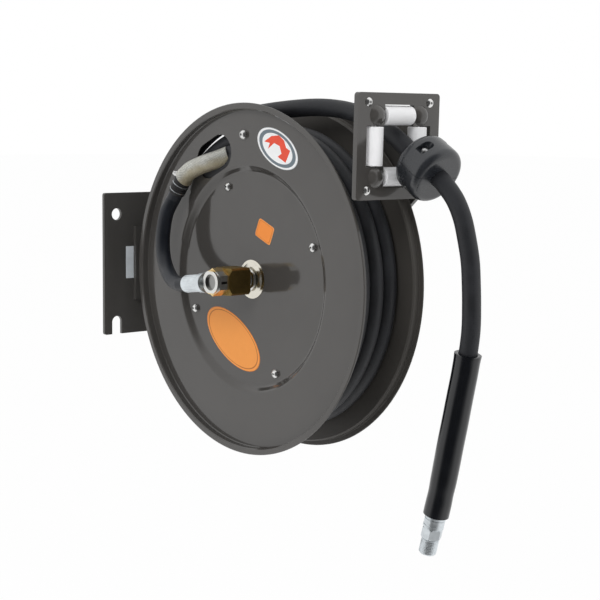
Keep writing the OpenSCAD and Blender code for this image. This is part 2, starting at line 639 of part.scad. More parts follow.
module jumper_clamp() color([0.75, 0.77, 0.79]) at_axle() {
    n = len(jumper_points);
    toward(jumper_points[n - 1], jumper_points[n - 2]) {
        translate([0, 0, 0.6]) tube(jumper_d / 2 + 1.6, jumper_d / 2 + 0.4, clamp_len);
        translate([-jumper_d / 2 - 6.4, -3.5, 2]) cube([5.2, 7, 7]);
    }
}

/* Wound hose */
lane_0 = -16.6;
wound_from = 285;
cross_from = 220;
cross_span = 60;
turn_rings = 24;
// Side step over one crossing, smooth at both ends
function crossed(a) =
    let (t = (a - cross_from) / cross_span)
    t <= 0 ? 0 : t >= 1 ? 1 : (1 - cos(180 * t)) / 2;
function lane_x(a) = lane_0 + lane_pitch * (floor(a / 360) + crossed(a % 360) - 1);
function wound_at(a) = [lane_x(a), -layer_r * cos(a), layer_r * sin(a)];
wound_rings = turns * turn_rings - 5;
wound_line = [for (k = [0:wound_rings]) wound_at(wound_from + k * 360 / turn_rings)];
wound_last = wound_from + wound_rings * 360 / turn_rings;
wound_ends = [
    wound_line[0] - hose_d * [0, sin(wound_from), cos(wound_from)],
    wound_at(wound_last) + hose_d * [0, sin(wound_last), cos(wound_last)]];
wound_path = concat([wound_ends[0]], wound_line, [wound_ends[1]]);
least_gap = min([for (i = [0:len(wound_path) - 1]) for (j = [i + turn_rings - 4:1:len(wound_path) - 1])
    norm(wound_path[i] - wound_path[j])]) - hose_d;
echo(least_gap_of_the_wound_hose_to_itself = least_gap);
module wound_hose() color([0.06, 0.065, 0.075]) at_axle() sweep(wound_path, hose_r, n = 8);
// The layers below, with a step that each end of the outer layer meets square
core_slack = 0.3;
braid_room = 2.8;
step_len = 14;
step_w = hose_d - 1;
module core_step(a, from) rotate([0, -90, 0]) on_circle(core_top - 6, a)
    translate([0, from, -lane_x(a) - step_w / 2]) cube([hose_d + 3, step_len, step_w]);
module hose_core() color([0.05, 0.055, 0.06]) at_axle() difference() {
    union() {
        rotate([0, -90, 0]) rotate_extrude() {
            low = inner_h - core_slack;
            high = face_h - sheet - core_slack;
            foot = core_r + 0.2;
            polygon([[foot, -low], [foot, low], [foot + 3, low], [dish_r + 2, high], [core_top, high],
                     [core_top, -high], [dish_r + 2, -high], [foot + 3, -low]]);
        }
        core_step(wound_from, -hose_d - step_len);
        core_step(wound_last, hose_d);
    }
    // Pocket for the braided sleeve's end
    n = len(braid_points);
    toward(braid_points[n - 1], braid_points[n - 2])
        translate([0, 0, -0.2]) cylinder(r = braid_d / 2 + braid_room, h = 60);
}

/* Hose to the guide and down */
module lead_hose() color([0.06, 0.065, 0.075]) at_axle() sweep(route(lead_points, 2), hose_r);
module free_hose() color([0.06, 0.065, 0.075]) at_axle() sweep(route(free_points, 2), hose_r);
sleeve_points = [for (i = [end_sleeve_first:len(free_points) - 1]) free_points[i]];
module end_sleeve() color([0.05, 0.05, 0.055]) at_axle()
    sweep_hollow(route(sleeve_points, 2), end_sleeve_d / 2, hose_r + 0.35);

/* Hose stop */
module stop_shape() rotate([0, 90, 0]) translate([0, 0, -stop_len / 2]) rotate_extrude() difference() {
    union() {
        square([stop_d / 2 - stop_round, stop_len]);
        translate([0, stop_round]) square([stop_d / 2, stop_len - stop_round - stop_front_round]);
        translate([0, stop_round]) square([stop_d / 2 - stop_front_round, stop_len - stop_round]);
        translate([stop_d / 2 - stop_round, stop_round]) circle(r = stop_round);
        translate([stop_d / 2 - stop_front_round, stop_len - stop_front_round]) circle(r = stop_front_round);
    }
    translate([-60, -60]) square([60 + hose_r + 0.15, 180]);
}
stop_bolt_y = 15.5;
stop_pocket = 20;
stop_pocket_d = 11;
module stop_bolt_holes() for (s = [-1, 1]) translate([0, s * stop_bolt_y, 0]) {
    translate([0, 0, -40]) cylinder(d = 5.2, h = 80);
    for (z = [stop_pocket, -stop_pocket - 30]) {
        translate([0, 0, z]) cylinder(d = stop_pocket_d, h = 30);
        translate([-stop_pocket_d / 2, s > 0 ? 0 : -stop_pocket_d, z])
            cube([stop_pocket_d, stop_pocket_d, 30]);
    }
}
module hose_stop_upper() color([0.09, 0.095, 0.1]) at_stop() difference() {
    stop_shape();
    translate([-60, -60, stop_seam - 60]) cube([120, 120, 60]);
    stop_bolt_holes();
}
module hose_stop_lower() color([0.09, 0.095, 0.1]) at_stop() difference() {
    stop_shape();
    translate([-60, -60, -stop_seam]) cube([120, 120, 60]);
    stop_bolt_holes();
}
module stop_bolts() color([0.8, 0.8, 0.82]) at_stop() for (s = [-1, 1]) translate([0, s * stop_bolt_y, 0]) {
    translate([0, 0, stop_pocket]) button_head(5, 9, 4);
    translate([0, 0, -stop_pocket - 5]) cylinder(d = 5.2, h = 2 * stop_pocket + 5);
}
module stop_nuts() color([0.8, 0.8, 0.82])
at_stop() for (s = [-1, 1]) translate([0, s * stop_bolt_y, -stop_pocket - 4]) difference() {
    cylinder(d = 9, h = 4, $fn = 6);
    translate([0, 0, -1]) cylinder(d = 5.2, h = 6);
}

/* Hose end */
ferrule_len = 15;
hex_len = 12;
end_thread_d = 19;
end_thread_len = 17;
end_hex_d = 23;
end_bore_d = 9.5;
end_insert_d = 12;
module end_ferrule() color([0.82, 0.83, 0.85]) at_end() difference() {
    cylinder(d = 22.4, h = ferrule_len);
    translate([0, 0, -1]) cylinder(d = end_insert_d, h = ferrule_len + 2);
}
module end_fitting() color([0.75, 0.8, 0.83]) at_end() difference() {
    union() {
        cylinder(d = end_insert_d, h = ferrule_len + 1);
        translate([0, 0, ferrule_len]) cylinder(d = end_hex_d, h = hex_len, $fn = 6);
        translate([0, 0, ferrule_len + hex_len]) {
            cylinder(d = end_thread_d, h = end_thread_len);
            translate([0, 0, end_thread_len]) cylinder(d1 = end_thread_d, d2 = end_thread_d - 2.4, h = 1.4);
        }
    }
    translate([0, 0, 2]) cylinder(d = end_bore_d, h = 60);
}

/* Plain labels */
label_t = 0.3;
module oval(a, b) polygon([for (k = [0:35]) [a * cos(10 * k), b * sin(10 * k)]]);
arrow_r = (dish_r + lip_r) / 2 - 4.4;
arrow_at = arrow_r * [-0.3145, 0.9492];
oval_at = [34, -72.4];
small_at = [-21.5, 55.6];
module on_disc(h, at, tilt) at_axle() lengthwise(-h - label_t, label_t) translate(at) rotate(tilt) children();
arrow_half = [36.8, 19.3];
oval_half = [53.7, 26.7];
small_size = [28.4, 21.7];
module arrow_label() color([0.95, 0.95, 0.95])
    on_disc(face_h, arrow_at, 24.5) oval(arrow_half[0], arrow_half[1]);
module oval_label() color([0.98, 0.55, 0.15])
    on_disc(floor_h, oval_at, 29.1) oval(oval_half[0], oval_half[1]);
module small_label() color([0.98, 0.5, 0.15])
    on_disc(floor_h, small_at, 23) square(small_size, center = true);

base_plate();
support_arm();
foot_rivets();
maker_tag();
guide_arm();
arm_bolts();
guide_plate();
guide_screws();
roller_left();
roller_right();
roller_top();
roller_bottom();
roller_pins();
axle();
axle_washer();
axle_nut();
inlet_fitting();
inlet_seal();
spring_arbor();
spring_case();
power_spring();
near_disc();
far_disc();
drum_core();
disc_screws();
disc_nuts();
annulus_bolt();
near_bearing();
far_bearing();
hub_flange();
ratchet_wheel();
pawl();
pawl_pin();
pawl_spring();
swivel_body();
swivel_seals();
swivel_elbow();
jumper_ferrule();
jumper_hose();
jumper_clamp();
braided_sleeve();
hose_core();
wound_hose();
lead_hose();
free_hose();
hose_stop_upper();
hose_stop_lower();
stop_bolts();
stop_nuts();
end_sleeve();
end_ferrule();
end_fitting();
arrow_label();
oval_label();
small_label();
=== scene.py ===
import math

import bpy
import numpy as np
from mathutils import Matrix, Vector


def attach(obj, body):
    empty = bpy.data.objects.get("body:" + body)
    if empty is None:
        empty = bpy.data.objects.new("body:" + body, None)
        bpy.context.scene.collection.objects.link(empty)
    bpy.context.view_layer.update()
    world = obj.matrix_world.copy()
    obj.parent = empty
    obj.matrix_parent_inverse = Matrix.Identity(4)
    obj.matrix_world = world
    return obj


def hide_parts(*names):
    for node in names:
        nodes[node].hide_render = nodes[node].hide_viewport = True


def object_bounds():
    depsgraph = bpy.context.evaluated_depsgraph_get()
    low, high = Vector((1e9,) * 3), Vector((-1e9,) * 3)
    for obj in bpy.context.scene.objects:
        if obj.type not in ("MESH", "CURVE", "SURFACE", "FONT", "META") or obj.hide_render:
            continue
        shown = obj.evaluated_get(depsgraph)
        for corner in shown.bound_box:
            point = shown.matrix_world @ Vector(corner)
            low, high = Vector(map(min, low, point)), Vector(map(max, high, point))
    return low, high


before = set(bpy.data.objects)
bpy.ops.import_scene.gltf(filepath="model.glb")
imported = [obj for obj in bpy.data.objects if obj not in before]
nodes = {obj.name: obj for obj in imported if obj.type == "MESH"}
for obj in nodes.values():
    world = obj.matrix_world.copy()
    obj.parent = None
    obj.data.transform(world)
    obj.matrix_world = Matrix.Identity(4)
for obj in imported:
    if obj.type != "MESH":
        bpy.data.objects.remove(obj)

cadLow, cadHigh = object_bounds()
mm = 0.001
axleAt = np.array([0.0, -0.236, -0.002])        # the axle's middle, in metres
print("frame loaded:", len(nodes), "nodes")


# camera: the lens sits left of the front and a little above the axle
camera = {"azimuth": -41.6024, "elevation": 6.5244, "roll": 0.527,
          "place": (-1.159857, -1.591024, 0.176232), "lens": 93.0904, "sensor": 36.0}


def aimCamera(want):
    turn, rise, roll = (math.radians(want[k]) for k in ("azimuth", "elevation", "roll"))
    side = Vector((math.cos(turn), math.sin(turn), 0))
    back = Vector((math.sin(turn) * math.cos(rise), -math.cos(turn) * math.cos(rise), math.sin(rise)))
    over = back.cross(side)
    right = math.cos(roll) * side + math.sin(roll) * over
    up = math.cos(roll) * over - math.sin(roll) * side
    data = bpy.data.cameras.new("camera")
    data.lens, data.sensor_width = want["lens"], want["sensor"]
    data.clip_start, data.clip_end = 0.05, 60
    eye = bpy.data.objects.new("camera", data)
    bpy.context.scene.collection.objects.link(eye)
    eye.matrix_world = Matrix((
        (right.x, up.x, back.x, want["place"][0]),
        (right.y, up.y, back.y, want["place"][1]),
        (right.z, up.z, back.z, want["place"][2]),
        (0, 0, 0, 1)))
    bpy.context.scene.camera = eye


aimCamera(camera)
print("camera placed")


# meshes from arrays: rows run along a piece and columns round it
def putMesh(name, points, faces, corners=None, crease=35):
    # faces is a list of index arrays, one row a face; corners gives each face's UV in the same shape
    mesh = bpy.data.meshes.new(name)
    points = np.asarray(points, np.float32).reshape(-1, 3)
    mesh.vertices.add(len(points))
    mesh.vertices.foreach_set("co", points.ravel())
    loops = np.concatenate([f.ravel() for f in faces])
    totals = np.concatenate([np.full(len(f), f.shape[1]) for f in faces])
    starts = np.concatenate([[0], np.cumsum(totals)[:-1]])
    mesh.loops.add(len(loops))
    mesh.loops.foreach_set("vertex_index", loops.astype(np.int32))
    mesh.polygons.add(len(totals))
    mesh.polygons.foreach_set("loop_start", starts.astype(np.int32))
    mesh.polygons.foreach_set("loop_total", totals.astype(np.int32))
    mesh.polygons.foreach_set("use_smooth", np.ones(len(totals), bool))
    if corners is not None:
        layer = mesh.uv_layers.new(name="UVMap")
        layer.data.foreach_set("uv", np.concatenate([c.ravel() for c in corners]).astype(np.float32))
    mesh.update()
    mesh.validate()
    mesh.set_sharp_from_angle(angle=math.radians(crease))
    piece = bpy.data.objects.new(name, mesh)
    bpy.context.scene.collection.objects.link(piece)
    return piece


def skin(name, grid, along, ringed=False, crease=35):
    # grid[i, k] is ring i's point k; quads join each ring to the next, and a fan closes each end
    rows, columns = grid.shape[:2]
    count = rows if ringed else rows - 1
    i, k = np.meshgrid(np.arange(count), np.arange(columns), indexing="ij")
    j, n = (i + 1) % rows, (k + 1) % columns
    quads = np.stack([i * columns + k, i * columns + n,
                      j * columns + n, j * columns + k], -1).reshape(-1, 4)
    along = np.asarray(along, float)
    here, there = along[i], along[j]
    first, second = k / columns, (k + 1) / columns
    uv = np.stack([np.stack([here, first], -1), np.stack([here, second], -1),
                   np.stack([there, second], -1), np.stack([there, first], -1)], 2).reshape(-1, 4, 2)
    points, faces, corners = grid.reshape(-1, 3), [quads], [uv]
    for row, flipped in () if ringed else ((0, True), (rows - 1, False)):
        ring = row * columns + np.arange(columns)
        middle = len(points)
        points = np.vstack([points, grid[row].mean(0)])
        a, b = (np.roll(ring, -1), ring) if flipped else (ring, np.roll(ring, -1))
        faces.append(np.stack([np.full(columns, middle), a, b], -1))
        corners.append(np.full((columns, 3, 2), along[row]))
    return putMesh(name, points, faces, corners, crease)


def smoothLine(points, steps):
    # a Catmull-Rom curve through the points, whose first and last stretches stay straight
    p = np.asarray(points, float)
    inner = p[1:-1]
    at = np.arange((len(inner) - 1) * steps + 1) / steps
    i = np.minimum(at.astype(int), len(inner) - 2)
    t = (at - i)[:, None]
    a, b = inner[np.maximum(i - 1, 0)], inner[i]
    c, d = inner[i + 1], inner[np.minimum(i + 2, len(inner) - 1)]
    curve = 0.5 * (2 * b + (c - a) * t + (2 * a - 5 * b + 4 * c - d) * t**2
                   + (3 * b - a - 3 * c + d) * t**3)
    return np.vstack([p[:1], curve, p[-1:]])


def evenLine(line, count):
    # the same line with its points an equal distance apart
    run = np.concatenate([[0], np.cumsum(np.linalg.norm(np.diff(line, axis=0), axis=1))])
    at = np.linspace(0, run[-1], count)
    return np.stack([np.interp(at, run, line[:, k]) for k in range(3)], -1), at


def softened(line, rounds):
    # each inner point moves towards the mean of its neighbours
    line = line.copy()
    for _ in range(rounds):
        line[1:-1] = 0.5 * line[1:-1] + 0.25 * (line[:-2] + line[2:])
    return line


def carriedFrames(line):
    # heading and two cross directions at each point, turned as little as possible from ring to ring
    heading = np.gradient(line, axis=0)
    heading /= np.linalg.norm(heading, axis=1)[:, None]
    side = np.array([1.0, 0.0, 0.0])
    sides = []
    for h in heading:
        side = side - h * (side @ h)
        side = side / np.linalg.norm(side)
        sides.append(side)
    sides = np.array(sides)
    return heading, sides, np.cross(heading, sides)


def roundLine(line, radius, angle, side, up):
    # each ring's points lie at radius from the line, at these angles from side towards up
    return line[:, None] + radius[..., None] * (np.cos(angle)[None, :, None] * side[:, None]
                                                + np.sin(angle)[None, :, None] * up[:, None])


def tube(name, line, radius, rings, columns, crease=50):
    # radius(s, a) is the distance from the line at the share s of its length and the angle a
    line, along = evenLine(line, rings)
    _, side, up = carriedFrames(line)
    angle = np.arange(columns) * 2 * np.pi / columns
    share = (along / along[-1])[:, None]
    r = radius(share, angle[None, :]) * np.ones((rings, columns))
    return skin(name, roundLine(line, r, angle, side, up), along, crease=crease)


def turned(name, outline, columns, place, shape=None, closed=False, crease=32):
    # an outline of (radius, height) carried round the place's +Z; shape(r, h, a) may change the radius
    outline = np.array(outline, float) * mm
    angle = np.arange(columns) * 2 * np.pi / columns
    r, h = np.broadcast_arrays(outline[:, :1], outline[:, 1:])
    r = r + 0 * angle[None, :]
    h = h + 0 * angle[None, :]
    if shape is not None:
        r = shape(r, h, angle[None, :] + 0 * r)
    grid = np.stack([r * np.cos(angle), r * np.sin(angle), h], -1)
    run = np.concatenate([[0], np.cumsum(np.linalg.norm(np.diff(outline, axis=0), axis=1))])
    piece = skin(name, grid, run, ringed=closed, crease=crease)
    piece.data.transform(place)
    return piece


def lookAlong(start, direction, upish=(1.0, 0.0, 0.0)):
    # a frame whose +Z is the direction and whose +X leans towards upish
    z = Vector(direction).normalized()
    x = (Vector(upish) - z * Vector(upish).dot(z)).normalized()
    y = z.cross(x)
    return Matrix((
        (x.x, y.x, z.x, start[0]),
        (x.y, y.y, z.y, start[1]),
        (x.z, y.z, z.z, start[2]),
        (0, 0, 0, 1)))


def fromAxle(points):
    # millimetres from the axle's middle to metres in the frame
    return np.asarray(points, float) * mm + axleAt


# shader maths: a Wire is one output socket, and sums of Wires add their own nodes
class Wire:
    def __init__(self, finish, socket):
        self.finish, self.socket = finish, socket

    def __add__(self, other):
        return self.finish.maths("ADD", self, other)

    def __radd__(self, other):
        return self.finish.maths("ADD", other, self)

    def __sub__(self, other):
        return self.finish.maths("SUBTRACT", self, other)

    def __rsub__(self, other):
        return self.finish.maths("SUBTRACT", other, self)

    def __mul__(self, other):
        return self.finish.maths("MULTIPLY", self, other)

    def __rmul__(self, other):
        return self.finish.maths("MULTIPLY", other, self)

    def __truediv__(self, other):
        return self.finish.maths("DIVIDE", self, other)

    def __rtruediv__(self, other):
        return self.finish.maths("DIVIDE", other, self)

    def __pow__(self, other):
        return self.finish.maths("POWER", self, other)


class Finish:
    def __init__(self, name, **fixed):
        self.material = bpy.data.materials.new(name)
        self.material.use_nodes = True
        self.tree = self.material.node_tree
        self.tree.nodes.clear()
        self.shader = self.tree.nodes.new("ShaderNodeBsdfPrincipled")
        exitNode = self.tree.nodes.new("ShaderNodeOutputMaterial")
        self.tree.links.new(self.shader.outputs[0], exitNode.inputs[0])
        for key, value in fixed.items():
            self.put(self.shader.inputs[key.replace("_", " ")], value)
        place = self.tree.nodes.new("ShaderNodeTexCoord")
        self.place = Wire(self, place.outputs["Object"])
        self.along = Wire(self, place.outputs["UV"])

    def put(self, socket, value):
        if isinstance(value, Wire):
            self.tree.links.new(value.socket, socket)
        elif hasattr(value, "__len__") and len(value) == 3 and socket.type == "RGBA":
            socket.default_value = (*value, 1)
        else:
            socket.default_value = value

    def node(self, kind, settings=None, values=None, out=0):
        # settings come first, because some of them change the sockets
        made = self.tree.nodes.new(kind)
        for key, value in (settings or {}).items():
            setattr(made, key, value)
        for key, value in (values or {}).items():
            self.put(made.inputs[key], value)
        return Wire(self, made.outputs[out])

    def maths(self, operation, *values):
        return self.node("ShaderNodeMath", {"operation": operation}, dict(enumerate(values)))

    def colours(self, share, low, high):
        return self.node("ShaderNodeMix", {"data_type": "RGBA"}, {0: share, 6: low, 7: high}, 2)

    def stretched(self, where, scale, turn=(0, 0, 0)):
        return self.node("ShaderNodeMapping", {}, {"Vector": where, "Rotation": turn, "Scale": scale})

    def noise(self, where, scale, detail=2.0, roughness=0.5):
        return self.node("ShaderNodeTexNoise", {}, {"Vector": where, "Scale": scale, "Detail": detail,
                                                    "Roughness": roughness})

    def parts(self, where):
        split = self.tree.nodes.new("ShaderNodeSeparateXYZ")
        self.put(split.inputs[0], where)
        return [Wire(self, s) for s in split.outputs]

    def ramp(self, value, low, high):
        # 0 below low, 1 above high, smooth between
        return self.node("ShaderNodeMapRange", {"interpolation_type": "SMOOTHSTEP"},
                         {"Value": value, "From Min": low, "From Max": high})

    def relief(self, height, distance):
        bump = self.node("ShaderNodeBump", {}, {"Height": height, "Distance": distance, "Strength": 1.0})
        self.put(self.shader.inputs["Normal"], bump)

    def use(self, **sockets):
        for key, value in sockets.items():
            self.put(self.shader.inputs[key.replace("_", " ")], value)
        return self.material


def paint(name, colour, rough=0.08, peel=0.000004, gloss=0.66):
    # glossy baked paint: faint orange peel, slow tone drift and a few duller patches
    f = Finish(name, Specular_IOR_Level=gloss)
    drift = f.noise(f.place, 9, 3)
    speck = f.noise(f.place, 900, 2)
    tone = f.colours(f.ramp(drift, 0.3, 0.7), [c * 0.94 for c in colour], [c * 1.06 for c in colour])
    tone = f.colours(f.ramp(speck, 0.62, 0.8) * 0.35, tone, [c * 1.35 for c in colour])
    f.relief(f.noise(f.place, 260, 2), peel)
    return f.use(Base_Color=tone, Roughness=rough + f.ramp(f.noise(f.place, 24, 3), 0.35, 0.75) * 0.04)


def metal(name, colour, rough, streak=(40, 40, 40), drift=0.12, dull=0.0, distance=0.00002):
    # plated or machined metal: fine streaks along one direction, cloudy tone, a little grime
    f = Finish(name, Metallic=1.0)
    lines = f.noise(f.stretched(f.place, streak), 10, 3)
    cloud = f.noise(f.place, 60, 3)
    tone = f.colours(f.ramp(cloud, 0.3, 0.75), [c * (1 - drift) for c in colour], colour)
    if dull:
        grime = f.ramp(f.noise(f.place, 180, 4), 0.5, 0.8)
        tone = f.colours(grime * dull, tone, [c * 0.45 for c in colour])
    f.relief(lines, distance)
    return f.use(Base_Color=tone, Roughness=rough + f.ramp(lines, 0.3, 0.7) * rough * 0.6)


def plastic(name, colour, rough, grain=700, distance=0.00004, drift=0.08, gloss=0.4):
    # moulded plastic: fine spark-eroded grain and slight flow marks
    f = Finish(name, Specular_IOR_Level=gloss)
    flow = f.noise(f.stretched(f.place, (6, 22, 14)), 5, 3)
    tone = f.colours(f.ramp(flow, 0.3, 0.7),
                     [c * (1 - drift) for c in colour], [c * (1 + drift) for c in colour])
    f.relief(f.noise(f.place, grain, 2), distance)
    return f.use(Base_Color=tone, Roughness=rough + f.ramp(flow, 0.3, 0.7) * 0.08)


def hoseCover(name, colour, rough, columns=64, prick=0.0065):
    # woven-wrapped rubber: the cloth's imprint round and along, rows of pin pricks darkened with painted
    # shade, and dust
    f = Finish(name, Sheen_Weight=0.04, Sheen_Roughness=0.4, Specular_IOR_Level=0.45)
    along, around, _ = f.parts(f.along)
    wrap = f.maths("SINE", along * (2 * math.pi / 0.0021)) * 0.5 + 0.5
    weft = f.maths("SINE", around * (2 * math.pi * columns)) * 0.5 + 0.5
    cloth = wrap * weft
    cellU = f.maths("FRACT", along / prick) - 0.5
    cellV = f.maths("FRACT", around * 10) - 0.5
    spot = f.maths("SQRT", cellU * cellU + cellV * cellV * 0.9)
    holes = 1 - f.ramp(spot, 0.05, 0.11)
    dust = f.noise(f.place, 38, 4, 0.6)
    tone = f.colours(f.ramp(dust, 0.35, 0.75), [c * 0.8 for c in colour], [c * 1.25 for c in colour])
    tone = f.colours(cloth * 0.25, tone, [c * 1.7 for c in colour])
    # painted shade: the inside of each pin prick is drawn darker
    tone = f.colours(holes * 0.7, tone, [c * 0.3 for c in colour])
    f.relief(cloth * 0.45 - holes + f.noise(f.place, 1400, 2) * 0.4, 0.00012)
    return f.use(Base_Color=tone, Roughness=rough + f.ramp(dust, 0.3, 0.7) * 0.12)


greyPaint = paint("greyPaint", (0.066, 0.062, 0.058))
# the far disc's copy of the grey paint: duller, and darker as painted shade
shadedFarPaint = paint("shadedFarPaint", (0.056, 0.052, 0.047), 0.42, 0.00001, 0.3)
# copy of the grey paint for the arms, base plate and drum core: rougher, and lighter as painted light on
# faces the lamps barely reach
litArmPaint = paint("litArmPaint", (0.07, 0.067, 0.063), 0.16)
brightSteel = metal("brightSteel", (0.88, 0.88, 0.87), 0.2, dull=0.12)
plainSteel = metal("plainSteel", (0.55, 0.55, 0.55), 0.28, dull=0.3)
zincPlate = metal("zincPlate", (0.80, 0.85, 0.88), 0.34, (300, 300, 20), 0.14, 0.2)
axleSteel = metal("axleSteel", (0.8, 0.79, 0.76), 0.1, (20, 400, 400), 0.1, 0.1)
paleBrass = metal("paleBrass", (0.80, 0.66, 0.40), 0.24, (30, 300, 300), 0.12, 0.15)
hubSteel = metal("hubSteel", (0.80, 0.77, 0.68), 0.16, (20, 300, 300), 0.1, 0.1)


def nickelOnBrass(name, middle):
    # nickel plate worn to brass on the six corners and along the inner edge, with a stamped dark mark
    f = Finish(name, Metallic=1.0)
    x, y, z = f.parts(f.node("ShaderNodeVectorMath", {"operation": "SUBTRACT"}, {0: f.place, 1: middle}))
    wear = f.noise(f.place, 420, 3) * 0.0016
    corner = f.ramp(f.maths("ABSOLUTE", z) + wear, 0.0124, 0.0136)
    edge = f.ramp(x + wear, -0.0775, -0.0762)
    brass = f.maths("MAXIMUM", corner, edge)
    tone = f.colours(brass, (0.74, 0.74, 0.72), (0.80, 0.62, 0.33))
    mark = (1 - f.ramp(f.maths("ABSOLUTE", z), 0.0012, 0.0016)) * f.ramp(x, -0.0862, -0.0855) * \
        (1 - f.ramp(x, -0.0780, -0.0772)) * (1 - f.ramp(y, -0.0125, -0.0115))
    tone = f.colours(mark, tone, (0.02, 0.02, 0.02))
    tone = f.colours(f.ramp(f.noise(f.place, 160, 3), 0.45, 0.75) * 0.25, tone, (0.4, 0.36, 0.28))
    fromAxis = f.maths("SQRT", y * y + z * z)
    socket = (1 - f.ramp(fromAxis, 0.0088, 0.0092)) * (1 - f.ramp(x, -0.0876, -0.0872))
    tone = f.colours(socket, tone, (0.3, 0.3, 0.29))
    f.relief(f.noise(f.stretched(f.place, (40, 300, 300)), 10, 3), 0.00002)
    return f.use(Base_Color=tone, Roughness=0.28 + brass * 0.1 + mark * 0.4)


nickelPlate = nickelOnBrass("nickelPlate", tuple(axleAt))
oliveBrass = metal("oliveBrass", (0.36, 0.25, 0.085), 0.42, (60, 60, 60), 0.25, 0.35, 0.00005)
springSteel = metal("springSteel", (0.28, 0.3, 0.36), 0.3, (300, 20, 300), 0.2, 0.2)
bearingPlastic = plastic("bearingPlastic", (0.62, 0.6, 0.52), 0.45)
rollerPlastic = plastic("rollerPlastic", (0.93, 0.93, 0.94), 0.4, 500, 0.00003, 0.02)
stopPlastic = plastic("stopPlastic", (0.017, 0.019, 0.023), 0.24, 900, 0.00002, gloss=0.8)
sealRubber = plastic("sealRubber", (0.012, 0.012, 0.013), 0.5)
sleevePlastic = plastic("sleevePlastic", (0.0035, 0.0042, 0.006), 0.12, 120, 0.000004, 0.1, 0.6)


def wireBraid(name, bright, grimeAndShadeTone, shadedSideAt):
    # two families of slanted strands, over and under each other, with painted shade, darker and warmer, on
    # the side facing down
    f = Finish(name, Metallic=0.85)
    along, around, _ = f.parts(f.along)
    pitch = along * (2 * math.pi / 0.0026)
    turns = around * (2 * math.pi * 28)
    one = f.maths("SINE", turns + pitch) * 0.5 + 0.5
    two = f.maths("SINE", turns - pitch) * 0.5 + 0.5
    fine = f.maths("SINE", (turns + pitch) * 5) * 0.5 + 0.5
    over = f.maths("GREATER_THAN", f.maths("SINE", turns) * f.maths("SINE", pitch), 0.0)
    strand = over * one + (1 - over) * two
    grime = f.noise(f.place, 120, 3)
    tone = f.colours(f.ramp(strand, 0.1, 0.6), [c * 0.4 for c in bright], bright)
    spark = f.ramp(f.noise(f.stretched(f.place, (700, 700, 700)), 1, 2), 0.42, 0.6)
    tone = f.colours(spark * 0.5, tone, [c * 0.4 for c in bright])
    # painted shade: the side facing down is drawn darker and warmer, with a little real grime mixed in
    undersideShade = f.ramp(f.maths("COSINE", (around - shadedSideAt) * (2 * math.pi)) + grime * 0.5, 0.35, 1.1)
    tone = f.colours(f.ramp(grime, 0.4, 0.8) * 0.12 + undersideShade * 0.6, tone, grimeAndShadeTone)
    f.relief(strand + fine * 0.2, 0.0002)
    return f.use(Base_Color=tone, Roughness=0.42 + f.ramp(grime, 0.3, 0.7) * 0.12)


# the second colour is the warm dark tone of grime and of the painted shade on the braid's underside
braidWire = wireBraid("braidWire", (0.9, 0.9, 0.84), (0.46, 0.38, 0.20), 0.74)
hoseBlack = hoseCover("hoseBlack", (0.0165, 0.0175, 0.0205), 0.5)
jumperBlack = hoseCover("jumperBlack", (0.008, 0.0105, 0.016), 0.36, prick=0.02)
print("finishes made")


def dress(piece, material, body, slot, *standsFor):
    piece.data.materials.clear()
    piece.data.materials.append(material)
    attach(piece, body)
    if standsFor:
        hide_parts(*standsFor)
    return piece


# the routes, in millimetres from the axle's middle, as the solids have them
routes = {"layerRadius": 165.0, "nextLayer": 187.0, "guideOut": 202.0, "guideUp": 154.4,
          "stopAt": (9.0, -236.0, 133.0)}
stopAt = np.array(routes["stopAt"])
fall = np.array([(0, 0), (-22, -14), (-39, -31), (-50, -50), (-57, -72), (-62, -94),
                 (-64, -117), (-65, -138), (-64.9, -163), (-61.6, -188), (-57, -211), (-51.2, -236),
                 (-45.4, -262), (-40, -285), (-35, -308), (-30, -330), (-25.2, -349), (-21.4, -363)], float)
freePoints = stopAt + np.column_stack([np.zeros(len(fall)), fall])
arc = np.radians(np.arange(230, 99, -10))
leadArc = np.column_stack([np.full(len(arc), -20.0), -routes["nextLayer"] * np.cos(arc),
                           routes["nextLayer"] * np.sin(arc)])
leadRun = np.array([(-12, 0.139, 37.6), (-9, 0.267, 39.6), (-5, 0.391, 40.6), (-1, 0.505, 39.6),
                    (2, 0.614, 36.6), (4, 0.723, 30.6), (6, 0.817, 22.6), (7.5, 0.901, 13.6),
                    (8.5, 0.98, 3.6)])
leadRun = np.column_stack([leadRun[:, 0], -leadRun[:, 1] * routes["guideOut"],
                           leadRun[:, 2] + routes["guideUp"]])
leadPoints = np.vstack([leadArc, [(-15, 0, routes["nextLayer"] + 2)], leadRun,
                        [stopAt + (0, 22, 14), stopAt]])

# the hanging hose
hangingHose = {"radius": 9.8, "rings": 420, "columns": 64, "sleeveFrom": 9, "sleeveRadius": 14.0,
               "sleeveGap": 0.4}
freeLine = smoothLine(fromAxle(freePoints), 8)
hoseR = hangingHose["radius"] * mm


def hoseRadius(share, angle):
    # nearly round, with a slow wander of a few hundredths of a millimetre
    return hoseR * (1 + 0.004 * np.sin(2 * angle + 9 * share) + 0.003 * np.sin(31 * share))


freeHose = tube("freeHose", freeLine, hoseRadius, hangingHose["rings"], hangingHose["columns"])
dress(freeHose, hoseBlack, "frame", "black_rubber", "free_hose")

